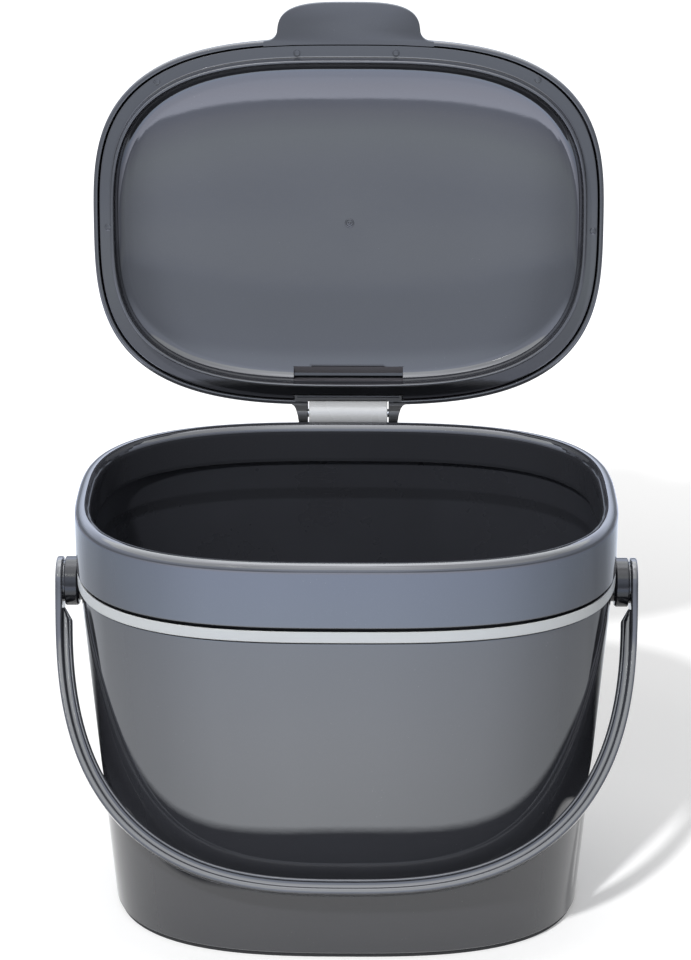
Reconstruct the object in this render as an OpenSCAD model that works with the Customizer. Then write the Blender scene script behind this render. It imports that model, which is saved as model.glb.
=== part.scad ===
// Compost caddy: tapered bucket, trim band, lift-off collar with a hinged lid, and a swinging bail handle.
// The origin is the centre of the sole's underside, with +X to the right, -Y to the front and +Z up.

/* [Bucket] */
// Full width of the collar at the rim
rim_width = 250; // [230:1:270]
// Full depth of the collar at the rim
rim_depth = 182; // [172:1:196]
// Height of the rim above the table
rim_height = 203; // [190:1:220]
// How much narrower the foot is than the shoulder, on each side
taper_side = 12; // [8:0.5:16]
// How much shallower the foot is than the shoulder, front and back
taper_front = 10; // [7:0.5:14]
// Thickness of the bucket's wall
bucket_wall = 2.6; // [2:0.1:3.2]
// Squareness of the plan outline at the rim, 2 is an ellipse
rim_squareness = 2.9; // [2.6:0.05:3.3]
// Squareness of the plan outline at the foot
foot_squareness = 2.8; // [2.6:0.05:3.3]

/* [Lid] */
// Angle of the lid from closed
lid_open = 96.7; // [0:0.1:96.7]
// Width of the grip tab
tab_width = 68.4; // [50:0.2:80]
// How far the grip tab stands out of the lid's front edge
tab_reach = 17.4; // [12:0.2:22]
// How far the plug rib hangs below the lid's flange
plug_depth = 9; // [6:0.5:11]

/* [Handle] */
// Forward angle of the bail from hanging straight down
bail_angle = 38; // [38:1:120]
// Distance from the pivot axis to the outside of the bail
bail_reach = 147.7; // [140:0.1:156]
// Diameter of the round end plates and of the hubs
hub_d = 23; // [20:0.5:24]
// Width of the bail's outer strap
strap_width = 9; // [7:0.5:12]

/* [Hidden] */

charcoal = "#4d5057";
light_grey = "#b9bbbf";
sole_black = "#1f2022";
steel = "#c4c6c9";

sides = 64;                            // points round a lofted outline
rim_a = rim_width / 2;
rim_b = rim_depth / 2;

// bucket levels
sole_t = 3.4;                          // thickness of the sole
skirt_z = 1.8;                         // the bucket's lower edge, which leaves a strip of sole in sight
floor_z = 6.4;                         // inside floor of the bucket
shoulder_z = rim_height - 37;          // the trim band rests on this step
neck_z = rim_height - 13.4;             // top edge of the bucket's neck
shoulder_inset = 1.2;                  // the body is this much inside the collar's outline
shoulder_a = rim_a - shoulder_inset;
shoulder_b = rim_b - shoulder_inset;
foot_a = shoulder_a - taper_side;
foot_b = shoulder_b - taper_front;
foot_z = 3.8;                          // the straight taper starts here
neck_inset = 2.8;                      // neck's outside, measured from the collar's outline
neck_wall = 2.4;

// collar
collar_z = rim_height - 30;            // lower edge of the collar
lip_w = 7.7;                           // width of the rounded lip
lip_r = lip_w / 2;
skirt_t = 2.2;                         // thickness of the collar's outer skirt
inner_z = rim_height - 19;             // lower edge of the inner skirt
channel_z = rim_height - 7.7;          // roof of the channel that the neck enters
seat_z = neck_z + 0.3;                 // ledge in the channel that sits on the neck
seat_w = 1.6;

// band
band_h = 5.6;
band_out = 0.2;                        // band's outside, measured from the collar's outline

// hinge
hinge_y = rim_b + 3.8;
hinge_z = rim_height + 2.2;
pin_r = 2;
pin_len = 45;
bore_gap = 0.05;                       // radial running clearance of the pin in the barrel
barrel_r = 6.2;
barrel_len = 38.6;
arm_gap = 0.6;                         // side clearance between the barrel and an arm
arm_in = barrel_len / 2 + arm_gap;
eye_r = 5.2;
leg_w = 34;
leg_t = 4.4;
leg_z = rim_height - 24;
housing_w = 50;
housing_y = hinge_y + 5.4;
housing_top = rim_height - 4.4;
housing_z = rim_height - 28;

// lid, modelled closed and then turned about the hinge
lid_a = rim_a - 1.2;
lid_b = rim_b - 1.2;
lid_y = 0.8;
lid_n = 3.08;
lid_z = rim_height + 0.5;              // underside of the lid's outer lip
lid_lip = 2.6;                         // width of the outer lip
flange_z = lid_z + 0.8;                // underside of the panel's flange
panel_t = 2;
rib_out = 8.9;                         // rib's outside, measured from the lid's outline
rib_t = 1.9;
tab_t = 4.6;
tab_depth = 16.4;                      // from the tab's front back to its widest place
tab_n = 3.2;                           // squareness of the tab's rounded front
tab_fillet = 5;
bracket_w = 52;
bracket_in = 5;                        // how far the hinge bracket reaches over the lid's flange
arm_h = 7.4;                           // height of the arms where they leave the lid
barrel_gap = 0.7;                      // clearance between the barrel and the lid round it
pocket_in = 18.3;

// bail
pivot_z = rim_height - 47;
hub_r = hub_d / 2;
hub_neck_r = 9;
hub_in = rim_a - 3.6;                  // hub's foot, sunk in the bucket's wall socket
hub_out = rim_a + 6.8;
stub_r = 4;
stub_len = 7;
bail_a = rim_a + 11;
bail_n = 2.7;
bail_steps = 30;                       // sections on each half of the bail
strap_t = 3;
rib_depth = 4.7;
web_w = 3.6;
bead_w = 5.6;
bead_t = 1.9;

// ---------- outlines and lofts

// signed power, for superellipse outlines
function spow(v, e) = sign(v) * pow(abs(v), e);

// ring of points on the superellipse |x/a|^n + |y/b|^n = 1 at height z
function ring(a, b, n, z, dy = 0) =
    [for (i = [0 : sides - 1])
        let (t = 360 * i / sides)
        [a * spow(cos(t), 2 / n), b * spow(sin(t), 2 / n) + dy, z]];

// plan exponent of the bucket at height z
function plan_n(z) = foot_squareness + (rim_squareness - foot_squareness) * max(0, min(1, z / rim_height));

// ring of the bucket's outside at height z, moved inward by an inset
function body_ring(z, inset = 0) =
    let (k = (z - foot_z) / (shoulder_z - foot_z))
    ring(foot_a + k * taper_side - inset, foot_b + k * taper_front - inset, plan_n(z), z);

// ring at an inset from the collar's outline
function rim_ring(inset, z) = ring(rim_a - inset, rim_b - inset, rim_squareness, z);

// ring at an inset from the lid's outline
function lid_ring(inset, z) = ring(lid_a - inset, lid_b - inset, lid_n, z, lid_y);

// ring of the lid's crown, scaled about the lid's centre
function crown_ring(inset, k, z) = ring((lid_a - inset) * k, (lid_b - inset) * k, lid_n - 0.3 * (1 - k), z, lid_y);

// solid through a list of rings; a closed loft joins its last ring to its first
module loft(rings, closed = false) {
    n = len(rings[0]);
    m = len(rings);
    last = closed ? m - 1 : m - 2;
    walls = [for (j = [0 : last], i = [0 : n - 1])
        let (k = (i + 1) % n, up = (j + 1) % m)
        each [[j * n + i, up * n + k, j * n + k], [j * n + i, up * n + i, up * n + k]]];
    caps = closed ? [] : [[for (i = [0 : n - 1]) i], [for (i = [n - 1 : -1 : 0]) (m - 1) * n + i]];
    polyhedron(points = [for (r = rings) each r], faces = concat(walls, caps), convexity = 8);
}

// cylinder along X, centred on the given point
module x_cylinder(r, len, y, z, x = 0) {
    translate([x, y, z]) rotate([0, 90, 0]) cylinder(h = len, r = r, center = true, $fn = 64);
}

// prism along X from a profile drawn in the Y-Z plane
module x_prism(len, x = 0) {
    translate([x - len / 2, 0, 0]) rotate([90, 0, 90]) linear_extrude(len) children();
}

// turns the closed lid about the hinge axis to its open angle
module on_hinge() {
    translate([0, hinge_y, hinge_z]) rotate([-lid_open, 0, 0]) translate([0, -hinge_y, -hinge_z]) children();
}

// ---------- bucket

module bucket() {
    outside = [
        ring(foot_a - 1.9, foot_b - 1.9, foot_squareness, skirt_z),
        ring(foot_a - 0.7, foot_b - 0.7, foot_squareness, skirt_z + 0.5),
        body_ring(foot_z),
        body_ring(40),
        body_ring(80),
        body_ring(120),
        body_ring(shoulder_z - 0.8),
        rim_ring(shoulder_inset + 0.6, shoulder_z),
        rim_ring(neck_inset, shoulder_z),
        rim_ring(neck_inset, neck_z - 0.7),
        rim_ring(neck_inset + 0.7, neck_z)];
    inside = [
        rim_ring(neck_inset + neck_wall - 0.7, neck_z),
        rim_ring(neck_inset + neck_wall, neck_z - 0.7),
        rim_ring(neck_inset + neck_wall, shoulder_z + 3),
        body_ring(shoulder_z - 3, bucket_wall),
        body_ring(120, bucket_wall),
        body_ring(80, bucket_wall),
        body_ring(40, bucket_wall),
        body_ring(floor_z + 11, bucket_wall),
        body_ring(floor_z + 6, bucket_wall + 1.1),
        body_ring(floor_z + 2.6, bucket_wall + 3.2),
        body_ring(floor_z + 0.7, bucket_wall + 6.4),
        body_ring(floor_z, bucket_wall + 10.5)];
    color(charcoal) difference() {
        loft(concat(outside, inside));
        sole_recess();
        for (side = [-1, 1]) hub_socket(side);
    }
}

// shallow recess in the bucket's underside that the sole is pressed into
module sole_recess() {
    loft([
        ring(foot_a - 3.2, foot_b - 3.2, foot_squareness, -1),
        ring(foot_a - 3.2, foot_b - 3.2, foot_squareness, sole_t)]);
}

// hole in the side wall for a hub's foot
module hub_socket(side) {
    x_cylinder(r = hub_neck_r, len = 12, y = 0, z = pivot_z, x = side * (rim_a - 3));
}

module sole() {
    color(sole_black) loft([
        ring(foot_a - 4.2, foot_b - 4.2, foot_squareness, 0),
        ring(foot_a - 3.6, foot_b - 3.6, foot_squareness, 0.6),
        ring(foot_a - 3.6, foot_b - 3.6, foot_squareness, sole_t)]);
}

// light ring that caps the shoulder step below the collar
module trim_band() {
    inner = neck_inset - 0.1;
    top = shoulder_z + band_h;
    color(light_grey) loft([
        rim_ring(inner, shoulder_z),
        rim_ring(band_out + 0.5, shoulder_z),
        rim_ring(band_out, shoulder_z + 0.6),
        rim_ring(band_out, top - 0.6),
        rim_ring(band_out + 0.5, top),
        rim_ring(inner, top)], closed = true);
}

// ---------- handle pivots

// hub on the side wall: a sunk foot, a flared neck below the band, and the bearing face for the handle
module hub(side) {
    flange_in = rim_a + 0.4;
    color(charcoal) translate([0, 0, pivot_z]) rotate([0, 90 * side, 0]) difference() {
        union() {
            translate([0, 0, hub_in]) cylinder(h = flange_in - hub_in + 0.6, r = hub_neck_r, $fn = 64);
            translate([0, 0, flange_in]) cylinder(h = 0.8, r1 = hub_r - 0.8, r2 = hub_r, $fn = 64);
            translate([0, 0, flange_in + 0.8]) cylinder(h = hub_out - flange_in - 1.3, r = hub_r, $fn = 64);
            translate([0, 0, hub_out - 0.5]) cylinder(h = 0.5, r1 = hub_r, r2 = hub_r - 0.5, $fn = 64);
        }
        translate([0, 0, hub_out - stub_len - 0.6]) cylinder(h = stub_len + 2, r = stub_r + bore_gap, $fn = 64);
    }
}

module hub_left() { hub(-1); }
module hub_right() { hub(1); }

// ---------- collar and hinge

// rounded lip over two skirts that straddle the bucket's neck
module collar() {
    lip_z = rim_height - lip_r;
    lip = [for (t = [0 : 20 : 180]) rim_ring(lip_r - lip_r * cos(t), lip_z + lip_r * sin(t))];
    section = concat(
        [rim_ring(0.5, collar_z), rim_ring(-0.1, collar_z + 0.6)],
        lip,
        [rim_ring(lip_w + 0.3, inner_z + 4),
         rim_ring(lip_w + 0.4, inner_z + 0.7),
         rim_ring(lip_w, inner_z),
         rim_ring(lip_w - 1, inner_z),
         rim_ring(lip_w - 1.5, inner_z + 0.8),
         rim_ring(lip_w - 1.8, seat_z),
         rim_ring(lip_w - 1.8 - seat_w, seat_z),
         rim_ring(lip_w - 1.8 - seat_w, channel_z),
         rim_ring(skirt_t + 0.1, channel_z),
         rim_ring(skirt_t - 0.1, collar_z)]);
    color(charcoal) difference() {
        union() {
            loft(section, closed = true);
            hinge_housing();
        }
        translate([-leg_w / 2 - 0.1, hinge_y - leg_t / 2 - 0.05, leg_z])
            cube([leg_w + 0.2, leg_t + 0.1, 40]);
        // saddle under the barrel
        x_cylinder(r = barrel_r + 0.1, len = barrel_len + 2 * arm_gap, y = hinge_y, z = hinge_z);
    }
}

// block on the back of the collar that holds the barrel's leg
module hinge_housing() {
    skin = rim_b - 1.4;
    depth = housing_y - skin;
    corner = 3;
    difference() {
        translate([0, 0, housing_z]) linear_extrude(housing_top - housing_z) hull() {
            translate([-housing_w / 2, skin]) square([housing_w, 1]);
            for (side = [-1, 1])
                translate([side * (housing_w / 2 - corner), skin + depth - corner]) circle(r = corner, $fn = 48);
        }
        // sloping underside, so that the block sheds water
        x_prism(housing_w + 2) polygon([
            [rim_b + 0.5, housing_z - 1], [housing_y + 1, housing_z - 1], [housing_y + 1, housing_z + 5]]);
    }
}

// light knuckle between the lid's arms, with a leg pressed into the collar's housing
module hinge_barrel() {
    color(light_grey) difference() {
        union() {
            x_cylinder(r = barrel_r, len = barrel_len, y = hinge_y, z = hinge_z);
            translate([-leg_w / 2, hinge_y - leg_t / 2, leg_z]) cube([leg_w, leg_t, hinge_z - leg_z]);
        }
        x_cylinder(r = pin_r + bore_gap, len = barrel_len + 2, y = hinge_y, z = hinge_z);
    }
}

module hinge_pin() {
    color(steel) on_hinge() x_cylinder(r = pin_r, len = pin_len, y = hinge_y, z = hinge_z);
}

// ---------- lid

// outline of the grip tab, with rounded corners and concave fillets into the lid's front edge
module tab_outline() {
    front = lid_y - lid_b - tab_reach;
    root = lid_y - lid_b + 2.4;
    offset(r = -tab_fillet) offset(r = tab_fillet) {
        polygon(concat(
            [for (t = [180 : 7.5 : 360])
                [tab_width / 2 * spow(cos(t), 2 / tab_n), front + tab_depth + tab_depth * spow(sin(t), 2 / tab_n)]],
            [[tab_width / 2 + 0.4, root], [-tab_width / 2 - 0.4, root]]));
        polygon([for (i = [0 : 60]) let (x = -60 + 2 * i)
            [x, lid_y - lid_b * pow(1 - pow(abs(x) / lid_a, lid_n), 1 / lid_n)],
            [60, root + 6], [-60, root + 6]]);
    }
}

// grip tab with softened edges
module grip_tab() {
    steps = [[0, 0.9], [0.45, 0.25], [1.1, 0]];
    difference() {
        translate([0, 0, lid_z]) for (s = steps)
            translate([0, 0, s[0]]) linear_extrude(tab_t - 2 * s[0]) offset(delta = -s[1]) tab_outline();
        translate([-70, lid_y - lid_b + 2.4, lid_z - 1]) cube([140, 30, tab_t + 2]);
    }
}

// hinge bracket: a bar on the lid's back edge and two tapering arms with eyes round the pin
module hinge_bracket() {
    back = lid_y + lid_b;
    bar_z = lid_z;
    // the arms in plan, tapering to the eyes
    intersection() {
        translate([0, 0, bar_z - 8]) linear_extrude(20) difference() {
            polygon([
                [-bracket_w / 2, back - bracket_in], [bracket_w / 2, back - bracket_in],
                [bracket_w / 2, back - lid_lip + 0.1], [bracket_w / 2 + 2.5, back - lid_lip + 0.1],
                [bracket_w / 2 + 2.5, back - 0.8], [bracket_w / 2 + 0.4, back + 0.2],
                [bracket_w / 2 - 1, back + 2], [bracket_w / 2 - 2.2, hinge_y + eye_r],
                [-bracket_w / 2 + 2.2, hinge_y + eye_r], [-bracket_w / 2 + 1, back + 2],
                [-bracket_w / 2 - 0.4, back + 0.2], [-bracket_w / 2 - 2.5, back - 0.8],
                [-bracket_w / 2 - 2.5, back - lid_lip + 0.1], [-bracket_w / 2, back - lid_lip + 0.1]]);
            translate([-arm_in, hinge_y - barrel_r]) square([2 * arm_in, 30]);
        }
        // the arms from the side: flat over the collar's lip, then down round the pin
        x_prism(bracket_w + 6) {
            translate([back - bracket_in, bar_z]) square([bracket_in + 0.6, arm_h]);
            hull() {
                translate([hinge_y, hinge_z]) circle(r = eye_r, $fn = 64);
                translate([back, bar_z]) square([0.6, arm_h]);
            }
        }
    }
}

// outer cover: rounded lip, low side wall and a shallow crown, with the tab and the hinge arms
module lid_cover() {
    shell = [
        crown_ring(10, 0.1, lid_z + 11.3),
        crown_ring(10, 0.4, lid_z + 10.9),
        crown_ring(10, 0.72, lid_z + 10),
        lid_ring(10, lid_z + 8.6),
        lid_ring(6, lid_z + 7.9),
        lid_ring(3.6, lid_z + 6.6),
        lid_ring(lid_lip, lid_z + 4.4),
        lid_ring(lid_lip, lid_z),
        lid_ring(0.9, lid_z),
        lid_ring(0.2, lid_z + 0.5),
        lid_ring(0, lid_z + 1.3),
        lid_ring(0.1, lid_z + 4.6),
        lid_ring(0.9, lid_z + 7),
        lid_ring(2.6, lid_z + 8.8),
        lid_ring(5.4, lid_z + 10),
        lid_ring(10, lid_z + 10.8),
        crown_ring(10, 0.72, lid_z + 12.2),
        crown_ring(10, 0.4, lid_z + 13.1),
        crown_ring(10, 0.1, lid_z + 13.5)];
    color(charcoal) on_hinge() difference() {
        union() {
            loft(shell);
            grip_tab();
            hinge_bracket();
        }
        x_cylinder(r = pin_r, len = bracket_w + 4, y = hinge_y, z = hinge_z);
        // room for the barrel in the lid's back edge
        x_cylinder(r = barrel_r + barrel_gap, len = 2 * arm_in, y = hinge_y, z = hinge_z);
    }
}

// inner panel: flange, plug rib that drops inside the collar, and a shallow bowl
module lid_panel() {
    edge = lid_lip + 0.15;
    rib_z = flange_z - plug_depth;
    rib_in = rib_out + rib_t;
    top_z = flange_z + panel_t;
    shell = [
        crown_ring(rib_in + 13, 0.1, flange_z + 6.3),
        crown_ring(rib_in + 13, 0.4, flange_z + 5.9),
        crown_ring(rib_in + 13, 0.7, flange_z + 5.1),
        lid_ring(rib_in + 13, flange_z + 3.7),
        lid_ring(rib_in + 6, flange_z + 2.2),
        lid_ring(rib_in + 2.6, flange_z + 0.2),
        lid_ring(rib_in + 1.2, flange_z - 3.4),
        lid_ring(rib_in + 0.4, rib_z + 0.6),
        lid_ring(rib_in - 0.15, rib_z),
        lid_ring(rib_out + 0.8, rib_z),
        lid_ring(rib_out + 0.3, rib_z + 0.6),
        lid_ring(rib_out, flange_z - 0.6),
        lid_ring(rib_out - 0.6, flange_z),
        lid_ring(edge, flange_z),
        lid_ring(edge, top_z),
        lid_ring(edge + 1.6, top_z),
        lid_ring(rib_in, top_z + 0.9),
        lid_ring(rib_in + 4.6, top_z + 2.3),
        lid_ring(rib_in + 13, top_z + 3.7),
        crown_ring(rib_in + 13, 0.7, top_z + 5.1),
        crown_ring(rib_in + 13, 0.4, top_z + 5.9),
        crown_ring(rib_in + 13, 0.1, top_z + 6.3)];
    color(charcoal) on_hinge() difference() {
        loft(shell);
        // room for the hinge bracket
        translate([-bracket_w / 2 - 0.2, lid_y + lid_b - bracket_in - 0.2, lid_z - 1])
            cube([bracket_w + 0.4, bracket_in + 1, 12]);
        // moulded pocket in the bowl's back wall
        translate([-bracket_w / 2, lid_y + lid_b - pocket_in, rib_z - 1])
            cube([bracket_w, pocket_in - rib_in - 1, flange_z + 2.6 - rib_z]);
    }
}

// ---------- handle

// point and outward normal on the bail's outer outline, at parameter u from 0 at the right pivot to 180
function bail_point(u) = [bail_a * spow(cos(u), 2 / bail_n), bail_reach * spow(sin(u), 2 / bail_n)];
function bail_normal(u) =
    let (p = bail_point(u),
         g = [spow(p.x / bail_a, bail_n - 1) / bail_a, spow(p.y / bail_reach, bail_n - 1) / bail_reach])
    g / norm(g);

// smooth step from 0 to 1 between two distances
function ease(s, from, to) = let (k = max(0, min(1, (s - from) / (to - from)))) k * k * (3 - 2 * k);

// mirrors half a section, given as [depth from the outside, half width] pairs from the centre line out
function both_sides(half) = concat(half, [for (i = [len(half) - 1 : -1 : 0]) [half[i][0], -half[i][1]]]);

// outer strap of the bail, s along the arm from the pivot; it widens into the round end plate
function strap_section(s) =
    let (w = strap_width / 2 + (hub_r - 2.2 - strap_width / 2) * (1 - ease(s, 6, 40)))
    both_sides([[0, w * 0.55], [0.35, w * 0.86], [1.1, w], [strap_t - 0.6, w], [strap_t, w - 0.7]]);

// web and rounded bead inside the strap; they rise out of the strap just below the hub
function rib_section(s) =
    let (k = min(1, (s - hub_r + 2.6) / 9.4),
         root = strap_t - 0.5,
         d = root + 1.3 + k * (rib_depth - 0.8),
         bead = 1.2 + k * (bead_t - 1.2))
    both_sides([[root, web_w / 2], [d - bead, web_w / 2], [d - 0.75 * bead, bead_w / 2],
                [d - 0.4 * bead, bead_w / 2], [d, bead_w * 0.3]]);

// places a section square to the bail's outline; the bail hangs in the X-Z plane before it is tilted
function bail_ring(u, section) =
    let (p = bail_point(u), m = bail_normal(u))
    [for (q = section) [p.x - q[0] * m.x, q[1], -(p.y - q[0] * m.y)]];

module handle() {
    us = concat(
        [for (i = [0 : bail_steps]) 180 - 90 * pow(i / bail_steps, 1.5)],
        [for (i = [bail_steps - 1 : -1 : 0]) 90 * pow(i / bail_steps, 1.5)]);
    // the rib's stations lie halfway between the strap's
    rib_us = [for (i = [0 : len(us) - 2]) (us[i] + us[i + 1]) / 2];
    plate_in = bail_a - strap_t - 0.25;
    plate_out = bail_a + 0.15;
    color(charcoal) translate([0, 0, pivot_z]) rotate([-bail_angle, 0, 0]) union() {
        loft([for (u = us) bail_ring(u, strap_section(bail_point(u).y))]);
        loft([for (u = rib_us) if (bail_point(u).y > hub_r) bail_ring(u, rib_section(bail_point(u).y))]);
        for (side = [-1, 1]) rotate([0, 90 * side, 0]) {
            translate([0, 0, plate_in]) cylinder(h = plate_out - plate_in - 0.8, r = hub_r, $fn = 64);
            translate([0, 0, plate_out - 0.8]) cylinder(h = 0.8, r1 = hub_r, r2 = hub_r - 0.8, $fn = 64);
            translate([0, 0, hub_out - stub_len]) cylinder(h = plate_in - hub_out + stub_len + 1, r = stub_r, $fn = 64);
        }
    }
}

bucket();
sole();
trim_band();
hub_left();
hub_right();
collar();
hinge_barrel();
hinge_pin();
lid_cover();
lid_panel();
handle();
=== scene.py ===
# Compost caddy: every piece is set out in millimetres, from the middle of the sole's underside.
import bpy
import bmesh
import math
from mathutils import Matrix, Vector


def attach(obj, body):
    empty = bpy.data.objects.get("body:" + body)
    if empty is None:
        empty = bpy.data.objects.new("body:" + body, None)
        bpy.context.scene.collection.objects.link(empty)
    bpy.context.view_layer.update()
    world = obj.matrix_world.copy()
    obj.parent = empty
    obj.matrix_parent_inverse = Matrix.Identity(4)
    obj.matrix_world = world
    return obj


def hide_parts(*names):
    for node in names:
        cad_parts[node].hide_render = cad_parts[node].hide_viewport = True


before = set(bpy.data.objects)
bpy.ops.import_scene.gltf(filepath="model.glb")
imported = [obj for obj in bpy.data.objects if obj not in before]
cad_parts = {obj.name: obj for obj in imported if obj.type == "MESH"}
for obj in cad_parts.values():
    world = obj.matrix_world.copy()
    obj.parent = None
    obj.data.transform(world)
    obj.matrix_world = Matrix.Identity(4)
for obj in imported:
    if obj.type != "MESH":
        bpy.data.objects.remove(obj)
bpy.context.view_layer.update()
mm = 0.001
weldDistance = 2e-6
creaseAngle = 38
scene = bpy.context.scene

caddy = {
    "rimHalfWidth": 125.0,
    "rimHalfDepth": 91.0,
    "rimHeight": 203.0,
    "rimSquareness": 2.9,
    "footSquareness": 2.8,
    "hingeY": 94.8,
    "hingeZ": 205.2,
    "lidAngle": 96.7,
    "pivotZ": 156.0,
    "outlinePoints": 288,
}


# ---- small tools

def signedPower(value, exponent):
    return math.copysign(abs(value) ** exponent, value)


def smoothStep(value, low, high):
    k = max(0.0, min(1.0, (value - low) / (high - low)))
    return k * k * (3 - 2 * k)


def evenTurns(halfWidth, halfDepth, squareness, count):
    # angles that space points evenly round a rounded rectangle, the same in each quarter
    fine = 2400
    power = 2 / squareness
    quarter = [math.pi / 2 * i / fine for i in range(fine + 1)]
    spots = [(halfWidth * math.cos(t) ** power if i < fine else 0.0, halfDepth * math.sin(t) ** power)
             for i, t in enumerate(quarter)]
    walked = [0.0]
    for before, after in zip(spots, spots[1:]):
        walked.append(walked[-1] + math.dist(before, after))
    perQuarter = count // 4
    turns = []
    j = 0
    for i in range(perQuarter):
        goal = walked[-1] * i / perQuarter
        while walked[j + 1] < goal:
            j += 1
        k = (goal - walked[j]) / (walked[j + 1] - walked[j])
        turns.append(quarter[j] + k * (quarter[j + 1] - quarter[j]))
    full = list(turns)
    full += [math.pi - t for t in reversed(turns[1:] + [math.pi / 2])]
    full += [math.pi + t for t in turns]
    full += [2 * math.pi - t for t in reversed(turns[1:] + [math.pi / 2])]
    return full


def filletedRun(corners, closed=False, stepDegrees=15, longest=7.0):
    # corners are (x, y, radius); returns (x, y, rounded) with arcs, and extra points along the flats
    count = len(corners)
    arcs = []
    for i, (x, y, radius) in enumerate(corners):
        here = Vector((x, y))
        ends = not closed and i in (0, count - 1)
        if radius <= 0 or ends:
            arcs.append([(x, y, 0.0)])
            continue
        before = Vector(corners[i - 1][:2]) - here
        after = Vector(corners[(i + 1) % count][:2]) - here
        a, b = before.normalized(), after.normalized()
        angle = a.angle(b)
        if angle > math.pi - 0.02:
            arcs.append([(x, y, 0.0)])
            continue
        # an arc beside an open end may take nearly all of that flat
        last = count - 1
        low = 0.97 if not closed and i == 1 else 0.49
        high = 0.97 if not closed and i == last - 1 else 0.49
        reach = min(radius / math.tan(angle / 2), low * before.length, high * after.length)
        radius = reach * math.tan(angle / 2)
        centre = here + (a + b).normalized() * (radius / math.sin(angle / 2))
        first = here + a * reach - centre
        final = here + b * reach - centre
        sweep = math.pi - angle
        steps = max(2, math.ceil(math.degrees(sweep) / stepDegrees))
        spin = 1 if first.x * final.y - first.y * final.x > 0 else -1
        arc = []
        for k in range(steps + 1):
            t = spin * sweep * k / steps
            arc.append((centre.x + first.x * math.cos(t) - first.y * math.sin(t),
                        centre.y + first.x * math.sin(t) + first.y * math.cos(t),
                        math.sin(math.pi * k / steps) ** 0.5 if radius < 2 and 0 < k < steps else 0.0))
        arcs.append(arc)
    run = []
    for i, arc in enumerate(arcs):
        run += arc
        if not closed and i == count - 1:
            break
        start, stop = Vector(arc[-1][:2]), Vector(arcs[(i + 1) % count][0][:2])
        gap = (stop - start).length
        if gap < 1.6:
            continue
        guard = min(0.45, gap * 0.2) / gap
        marks = [guard]
        inner = max(0, math.ceil(gap * (1 - 2 * guard) / longest) - 1)
        marks += [guard + (1 - 2 * guard) * (k + 1) / (inner + 1) for k in range(inner)] + [1 - guard]
        run += [(*(start + (stop - start) * k), 0.0) for k in marks]
    return run


def newMesh(name, points, faces):
    mesh = bpy.data.meshes.new(name)
    mesh.from_pydata([tuple(p) for p in points], [], faces)
    mesh.update()
    piece = bpy.data.objects.new(name, mesh)
    scene.collection.objects.link(piece)
    return piece


def pointValues(piece, name, values, kind="FLOAT"):
    field = piece.data.attributes.new(name, kind, "POINT")
    field.data.foreach_set("value" if kind == "FLOAT" else "vector", values)


def settle(piece, name):
    # turns the evaluated object into a plain mesh of its own
    graph = bpy.context.evaluated_depsgraph_get()
    mesh = bpy.data.meshes.new_from_object(piece.evaluated_get(graph), depsgraph=graph)
    mesh.name = name
    done = bpy.data.objects.new(name, mesh)
    scene.collection.objects.link(done)
    old = piece.data
    bpy.data.objects.remove(piece)
    if isinstance(old, bpy.types.Mesh) and old.users == 0:
        bpy.data.meshes.remove(old)
    return done


def setInputs(modifier, values):
    for item in modifier.node_group.interface.items_tree:
        if item.item_type == "SOCKET" and item.in_out == "INPUT" and item.name in values:
            modifier[item.identifier] = values[item.name]


def growTree(name, sockets):
    tree = bpy.data.node_groups.new(name, "GeometryNodeTree")
    tree.interface.new_socket("Geometry", in_out="INPUT", socket_type="NodeSocketGeometry")
    for label, kind in sockets:
        tree.interface.new_socket(label, in_out="INPUT", socket_type=kind)
    tree.interface.new_socket("Geometry", in_out="OUTPUT", socket_type="NodeSocketGeometry")
    return tree, tree.nodes.new("NodeGroupInput"), tree.nodes.new("NodeGroupOutput")


def newNode(tree, kind, inputs=None, **settings):
    # a node with its settings, and its inputs linked or set by name or number
    node = tree.nodes.new(kind)
    for name, value in settings.items():
        setattr(node, name, value)
    for slot, value in (inputs or {}).items():
        if isinstance(value, bpy.types.NodeSocket):
            tree.links.new(value, node.inputs[slot])
        else:
            node.inputs[slot].default_value = value
    return node


def mathNode(tree, operation, *values):
    return newNode(tree, "ShaderNodeMath", dict(enumerate(values)), operation=operation).outputs[0]


def multiplied(tree, first, second):
    return mathNode(tree, "MULTIPLY", first, second)


def vectorNode(tree, operation, *values):
    return newNode(tree, "ShaderNodeVectorMath", dict(enumerate(values)), operation=operation).outputs[0]


def combineNode(tree, **axes):
    return newNode(tree, "ShaderNodeCombineXYZ", {axis.upper(): value for axis, value in axes.items()}).outputs[0]


def attributeNode(tree, name, kind="FLOAT"):
    return newNode(tree, "GeometryNodeInputNamedAttribute", {"Name": name}, data_type=kind).outputs["Attribute"]


def roundPower(tree, wave, exponent):
    sign = mathNode(tree, "SIGN", wave)
    size = mathNode(tree, "POWER", mathNode(tree, "ABSOLUTE", wave), exponent)
    return multiplied(tree, sign, size)


def finishTree(tree, geometry, inlet, outlet):
    smooth = newNode(tree, "GeometryNodeSetShadeSmooth", {"Geometry": geometry})
    real = newNode(tree, "GeometryNodeRealizeInstances", {"Geometry": smooth.outputs[0]})
    paint = newNode(tree, "GeometryNodeSetMaterial", {"Geometry": real.outputs[0], "Material": inlet.outputs["Material"]})
    tree.links.new(paint.outputs[0], outlet.inputs["Geometry"])


def moveAndWeld(tree, spot, inlet, outlet):
    moved = newNode(tree, "GeometryNodeSetPosition", {"Geometry": inlet.outputs["Geometry"], "Position": spot})
    weld = newNode(tree, "GeometryNodeMergeByDistance", {"Geometry": moved.outputs[0], "Distance": weldDistance})
    finishTree(tree, weld.outputs[0], inlet, outlet)


# ---- the tree that lofts the rounded-rectangle shells

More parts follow.
